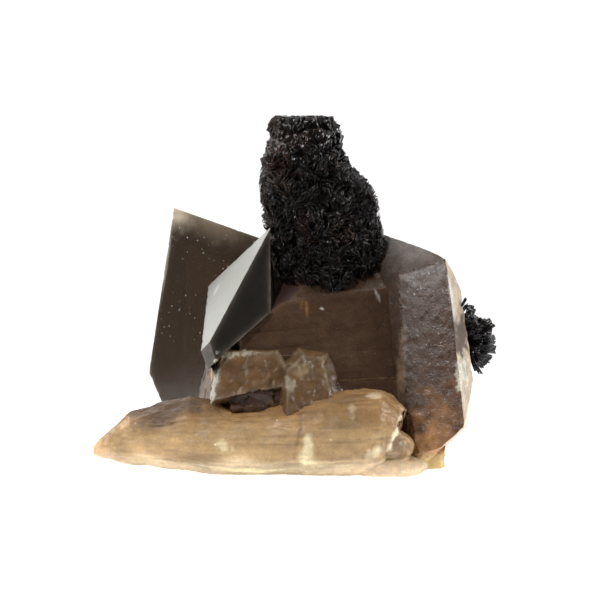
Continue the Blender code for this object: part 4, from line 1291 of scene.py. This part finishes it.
def headLaths():
    # Broad stubby plates up the sides of the head, and upright ones packed over its flat top.
    dice = np.random.default_rng(tallSpray["seed"] + 1)
    count, each = tallSpray["headBundles"], tallSpray["perHeadBundle"]
    total = count * each
    pick, spread = combs(count, each)
    height, angle = anywhere(dice, (tallSpray["headFrom"] - 1.0, tallSpray["top"] - 0.5), count)
    outward = outlineNormal(height, angle)
    around = np.stack([-np.sin(angle), np.cos(angle), np.zeros(count)], -1)
    middle = unit(outward * 0.35 + np.array([0, 0, 0.8]) + around * dice.uniform(-0.7, 0.7, count)[:, None])
    length = between(dice, tallSpray["headLength"], total)
    tips = outlineAt(height, angle)[pick] - outward[pick] * dice.uniform(0, 0.35, total)[:, None]
    tips = tips + around[pick] * (spread * 0.55)[:, None] + 0.15 * dice.normal(size=(total, 3))
    way = unit(middle[pick] + around[pick] * (spread * 0.25)[:, None] + 0.1 * dice.normal(size=(total, 3)))
    upTheSides = (insideOutline(tips), way, length)
    crown, top = tallSpray["crown"], tallSpray["top"]
    rim = outlineAt(np.full(crown, top), dice.uniform(0, 2 * np.pi, crown))
    heart = rim.mean(axis=0)
    tips = heart + (rim - heart) * (np.sqrt(dice.uniform(0, 1, crown)) * 0.97)[:, None]
    tips[:, 2] = top - 0.25 * smoothStep(layered(tips, 1.6, 2, seed=90) + 0.5) - dice.uniform(0, 0.22, crown)
    way = unit(np.array([0, 0, 1.0]) + 0.25 * dice.normal(size=(crown, 3)))
    overTheTop = (tips, way, between(dice, tallSpray["headLength"], crown))
    tips, way, length = (np.concatenate(both) for both in zip(upTheSides, overTheTop))
    amount = len(tips)
    width = between(dice, tallSpray["headWidth"], amount)
    thick = between(dice, tallSpray["headThick"], amount)
    sideways = unit(dice.normal(size=(amount, 3)))
    tone = toneAt(tips, dice) * 0.6 + 0.35 * smoothStep((-1.5 - tips[:, 0]) / 2)
    bend = np.zeros((amount, 3))
    shape = (tips - way * length[:, None], tips, sideways, width, thick, bend, tallSpray["bluntTip"])
    return dict(shape=shape, tone=tone)


def buildCore(material):
    # The dark heart of the tall spray: its outline drawn in and made lumpy, closed at both ends.
    rows, columns = tallSpray["coreRows"], tallSpray["coreColumns"]
    angle = np.linspace(0, 2 * np.pi, columns, endpoint=False)
    height, turn = np.meshgrid(np.linspace(*tallSpray["coreSpan"], rows), angle, indexing="ij")
    head = smoothStep((height - tallSpray["headFrom"] + 0.8) / 1.6)
    inset = laid(tallSpray["coreInset"], tallSpray["headInset"], head)
    points = outlineAt(height, turn, inset).reshape(-1, 3)
    out = np.stack([np.cos(turn), np.sin(turn), np.zeros_like(turn)], -1).reshape(-1, 3)
    lumps = layered(points, 2.2, 4, seed=100) * tallSpray["coreLumps"]
    crust = layered(points, 0.45, 3, seed=101) * 0.14
    points = points + out * (lumps * (1 - 0.6 * head.ravel()) + crust)[:, None]
    ends = np.stack([points[:columns].mean(axis=0), points[-columns:].mean(axis=0)])
    points = np.concatenate([points, ends])
    first = np.arange(columns)
    last = first + (rows - 1) * columns
    below = np.stack([np.roll(first, -1), first, np.full(columns, rows * columns)], -1)
    above = np.stack([last, np.roll(last, -1), np.full(columns, rows * columns + 1)], -1)
    quads = gridQuads(rows, columns)
    corners = np.concatenate([quads.ravel(), below.ravel(), above.ravel()])
    sizes = np.concatenate([np.full(len(quads), 4), np.full(2 * columns, 3)])
    item = newPiece("goethiteHeart", points, corners, sizes, material)
    addNumbers(item, "tone", toneAt(points, np.random.default_rng(tallSpray["coreSeed"])))
    addNumbers(item, "grain", layered(points, 0.6, 2, seed=5) * 6)
    item.data.shade_smooth()
    print("goethite heart done")
    return item


def combedLaths(dice):
    # Combs of near-parallel blades from the tuft's heart to each tip, and loose ones between them.
    centre, tips = np.array(tuftSpray["centre"]), np.array(tuftSpray["tips"])
    mixes = dice.dirichlet(np.ones(3) * 0.8, tuftSpray["between"])
    trios = dice.integers(0, len(tips), (tuftSpray["between"], 3))
    extra = (tips[trios] * mixes[:, :, None]).sum(axis=1)
    extra = centre + unit(extra - centre) * np.linalg.norm(tips - centre, axis=1).mean() * 0.9
    goals = np.concatenate([tips, extra])
    count = len(goals)
    total = count * tuftSpray["perTip"]
    pick, spread = combs(count, tuftSpray["perTip"])
    middle = unit(goals - centre)
    fanWay = unit(np.cross(middle, dice.normal(size=(count, 3))))
    faceWay = np.cross(middle, fanWay)
    shift = fanWay[pick] * (spread * 0.42)[:, None] + faceWay[pick] * dice.normal(0, 0.09, (total, 1))
    short = dice.uniform(0, 0.55, total) * np.abs(spread) ** 0.5
    ends = goals[pick] + shift - middle[pick] * (short + 0.15)[:, None]
    roots = centre + (goals[pick] - centre) * 0.15 + shift * 0.3 - np.array([0.3, 0, 0])
    width = between(dice, tuftSpray["width"], total)
    thick = between(dice, tuftSpray["thick"], total)
    sideways = faceWay[pick] + 0.3 * dice.normal(size=(total, 3))
    bend = np.zeros((total, 3))
    shape = (roots, ends, sideways, width, thick, bend, tuftSpray["bluntTip"])
    return dict(shape=shape, tone=dice.uniform(0, 0.2, total))


def largeBlades(dice):
    # Each large blade is four laths side by side, of unlike length, so its end is stepped.
    steps = tuftSpray["bladeSteps"]
    blades = zip(*tuftSpray["blades"])
    starts, goals, width, thick = (np.repeat(values, len(steps), axis=0) for values in blades)
    amount = len(width)
    along = unit(goals - starts)
    across = unit(np.cross(along, (0.15, 1.0, 0.1)))
    shift = across * (np.tile(steps, len(tuftSpray["blades"])) * width)[:, None]
    goals = goals + shift * 1.15 - along * dice.uniform(0, 0.5, (amount, 1))
    shape = (starts + shift, goals, across, width * 0.3, thick, np.zeros((amount, 3)), tuftSpray["bladeTip"])
    return dict(shape=shape, tone=dice.uniform(0, 0.1, amount))


def tuftLaths():
    dice = np.random.default_rng(tuftSpray["seed"])
    return [combedLaths(dice), largeBlades(dice)]


def goethiteMaterial():
    # Near black, browner where the tone says, with lines along each lath.
    material, tree, shader = newMaterial("goethite")
    rust = useGroup(tree, mottle, size=0.9, low=0.3, high=1.3, shift=2.0)
    share = reckon(tree, "MULTIPLY", attribute(tree, "tone"), rust, use_clamp=True)
    colour = mixed(tree, share, (0.003, 0.003, 0.0032, 1.0), (0.045, 0.022, 0.014, 1.0))
    lines = addNode(tree, "ShaderNodeTexNoise", {"W": attribute(tree, "grain"), "Scale": 3.0, "Detail": 2.0},
                    noise_dimensions="1D").outputs["Fac"]
    rough = remapped(tree, lines, (0.3, 0.7), (0.10, 0.24))
    wire(tree, shader, colour, rough, lines, (0.5, 0.03), {"IOR": 1.55, "Specular IOR Level": 0.25})
    return material


def buildGoethite():
    # The tall spray is its front and back laths, its head and its heart, so that no mesh grows too large.
    material = goethiteMaterial()
    body, angle = bodyLaths()
    frontHalf = np.sin(angle) < 0
    made = []
    for name, chosen in (("goethiteFront", frontHalf), ("goethiteBack", ~frontHalf)):
        part = dict(shape=[values[chosen] for values in body["shape"]], tone=body["tone"][chosen])
        made.append(buildLaths(name, [part], material))
    made.append(buildLaths("goethiteHead", [headLaths()], material))
    made.append(buildCore(material))
    for item in made:
        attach(item, "root")
        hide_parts("goethite_spray")
    tuft = buildLaths("goethiteTuft", tuftLaths(), material)
    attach(tuft, "root")
    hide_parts("goethite_tuft")


# Studio

studio = {
    "floorSize": 0.09, "floorGlow": 0.85, "floorDrop": 0.02,
    "front": 0.045, "back": 1.7, "top": 0.09,   # how bright the surround is on each side
    "backdrop": 1.1,                            # and how bright the camera sees it
    "lens": 100, "sensor": 36, "distance": 250.0, "elevation": 6.0, "target": (0.0, 0.0, 24.16),
    "lampTarget": (0, 0, 24),
    "lamps": {                                  # place, width and power
        "leftSoftbox": ((-190, -110, 150), 90, 0.22),
        "rightSoftbox": ((230, -40, 110), 80, 0.53),
        "spark": ((-110, -190, 190), 7, 0.42),
    },
}


def buildFloor():
    # A pale square a hair under the cluster.
    half, below = studio["floorSize"] / 2, -studio["floorDrop"] * mm
    mesh = bpy.data.meshes.new("floor")
    corners = [(-half, -half, below), (half, -half, below), (half, half, below), (-half, half, below)]
    mesh.from_pydata(corners, [], [(0, 1, 2, 3)])
    material, tree, shader = newMaterial("paleFloor")
    setInputs(tree, shader, {
        "Base Color": (0.9, 0.9, 0.9, 1.0), "Roughness": 0.6,
        "Emission Color": (1.0, 1.0, 0.99, 1.0), "Emission Strength": studio["floorGlow"]})
    mesh.materials.append(material)
    floor = placed("floor", mesh)


def buildSurround():
    # Light from all round: it grows smoothly from front to back, and a little from the horizon upward.
    world = bpy.data.worlds.new("softSurround")
    bpy.context.scene.world = world
    world.use_nodes = True
    tree = world.node_tree
    place = addNode(tree, "ShaderNodeTexCoord").outputs["Generated"]
    along = addNode(tree, "ShaderNodeSeparateXYZ", {0: place}).outputs
    level = remapped(tree, along["Y"], (-0.45, 0.55), (studio["front"], studio["back"]),
                     interpolation_type="SMOOTHSTEP")
    lift = remapped(tree, along["Z"], (0.2, 1.0), (0.0, studio["top"]))
    seen = addNode(tree, "ShaderNodeLightPath").outputs["Is Camera Ray"]
    both = reckon(tree, "ADD", level, lift)
    strength = addNode(tree, "ShaderNodeMix", {0: seen, 2: both, 3: studio["backdrop"]}).outputs[0]
    setInputs(tree, tree.nodes["Background"], {"Color": (1.0, 1.0, 1.0, 1.0), "Strength": strength})


def aim(item, place, forward):
    # Puts a lamp or camera at a place and turns it to look along forward.
    item.location = place
    item.rotation_mode = "QUATERNION"
    item.rotation_quaternion = forward.to_track_quat("-Z", "Y")


def addLamp(name, place, size, power):
    # A square soft lamp that looks at the middle of the cluster.
    lamp = bpy.data.lights.new(name, "AREA")
    lamp.size = size * mm
    lamp.energy = power
    place = Vector(place) * mm
    aim(placed(name, lamp), place, Vector(studio["lampTarget"]) * mm - place)


def addCamera():
    # It stands at its distance before the target and looks along +Y, down by the elevation.
    elevation = math.radians(studio["elevation"])
    forward = Vector((0, math.cos(elevation), -math.sin(elevation)))
    target = (Vector(studio["target"]) + Vector(home)) * mm
    camera = placed("camera", bpy.data.cameras.new("camera"))
    camera.data.lens = studio["lens"]
    camera.data.sensor_width = studio["sensor"]
    camera.data.clip_start = 0.01
    camera.data.clip_end = 50
    aim(camera, target - forward * studio["distance"] * mm, forward)
    bpy.context.scene.camera = camera


def buildStudio():
    buildFloor()
    buildSurround()
    for name, (place, size, power) in studio["lamps"].items():
        addLamp(name, place, size, power)
    addCamera()
    bpy.context.scene.view_settings.view_transform = "Standard"
    print("studio ready")


quartz = buildDarkQuartz(darkQuartzMaterial())
milky = buildLongCrystal(milkyQuartzMaterial())
for item in (quartz, milky):
    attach(item, "root")
    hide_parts("smoky_quartz_cluster")
buildGoethite()
buildStudio()
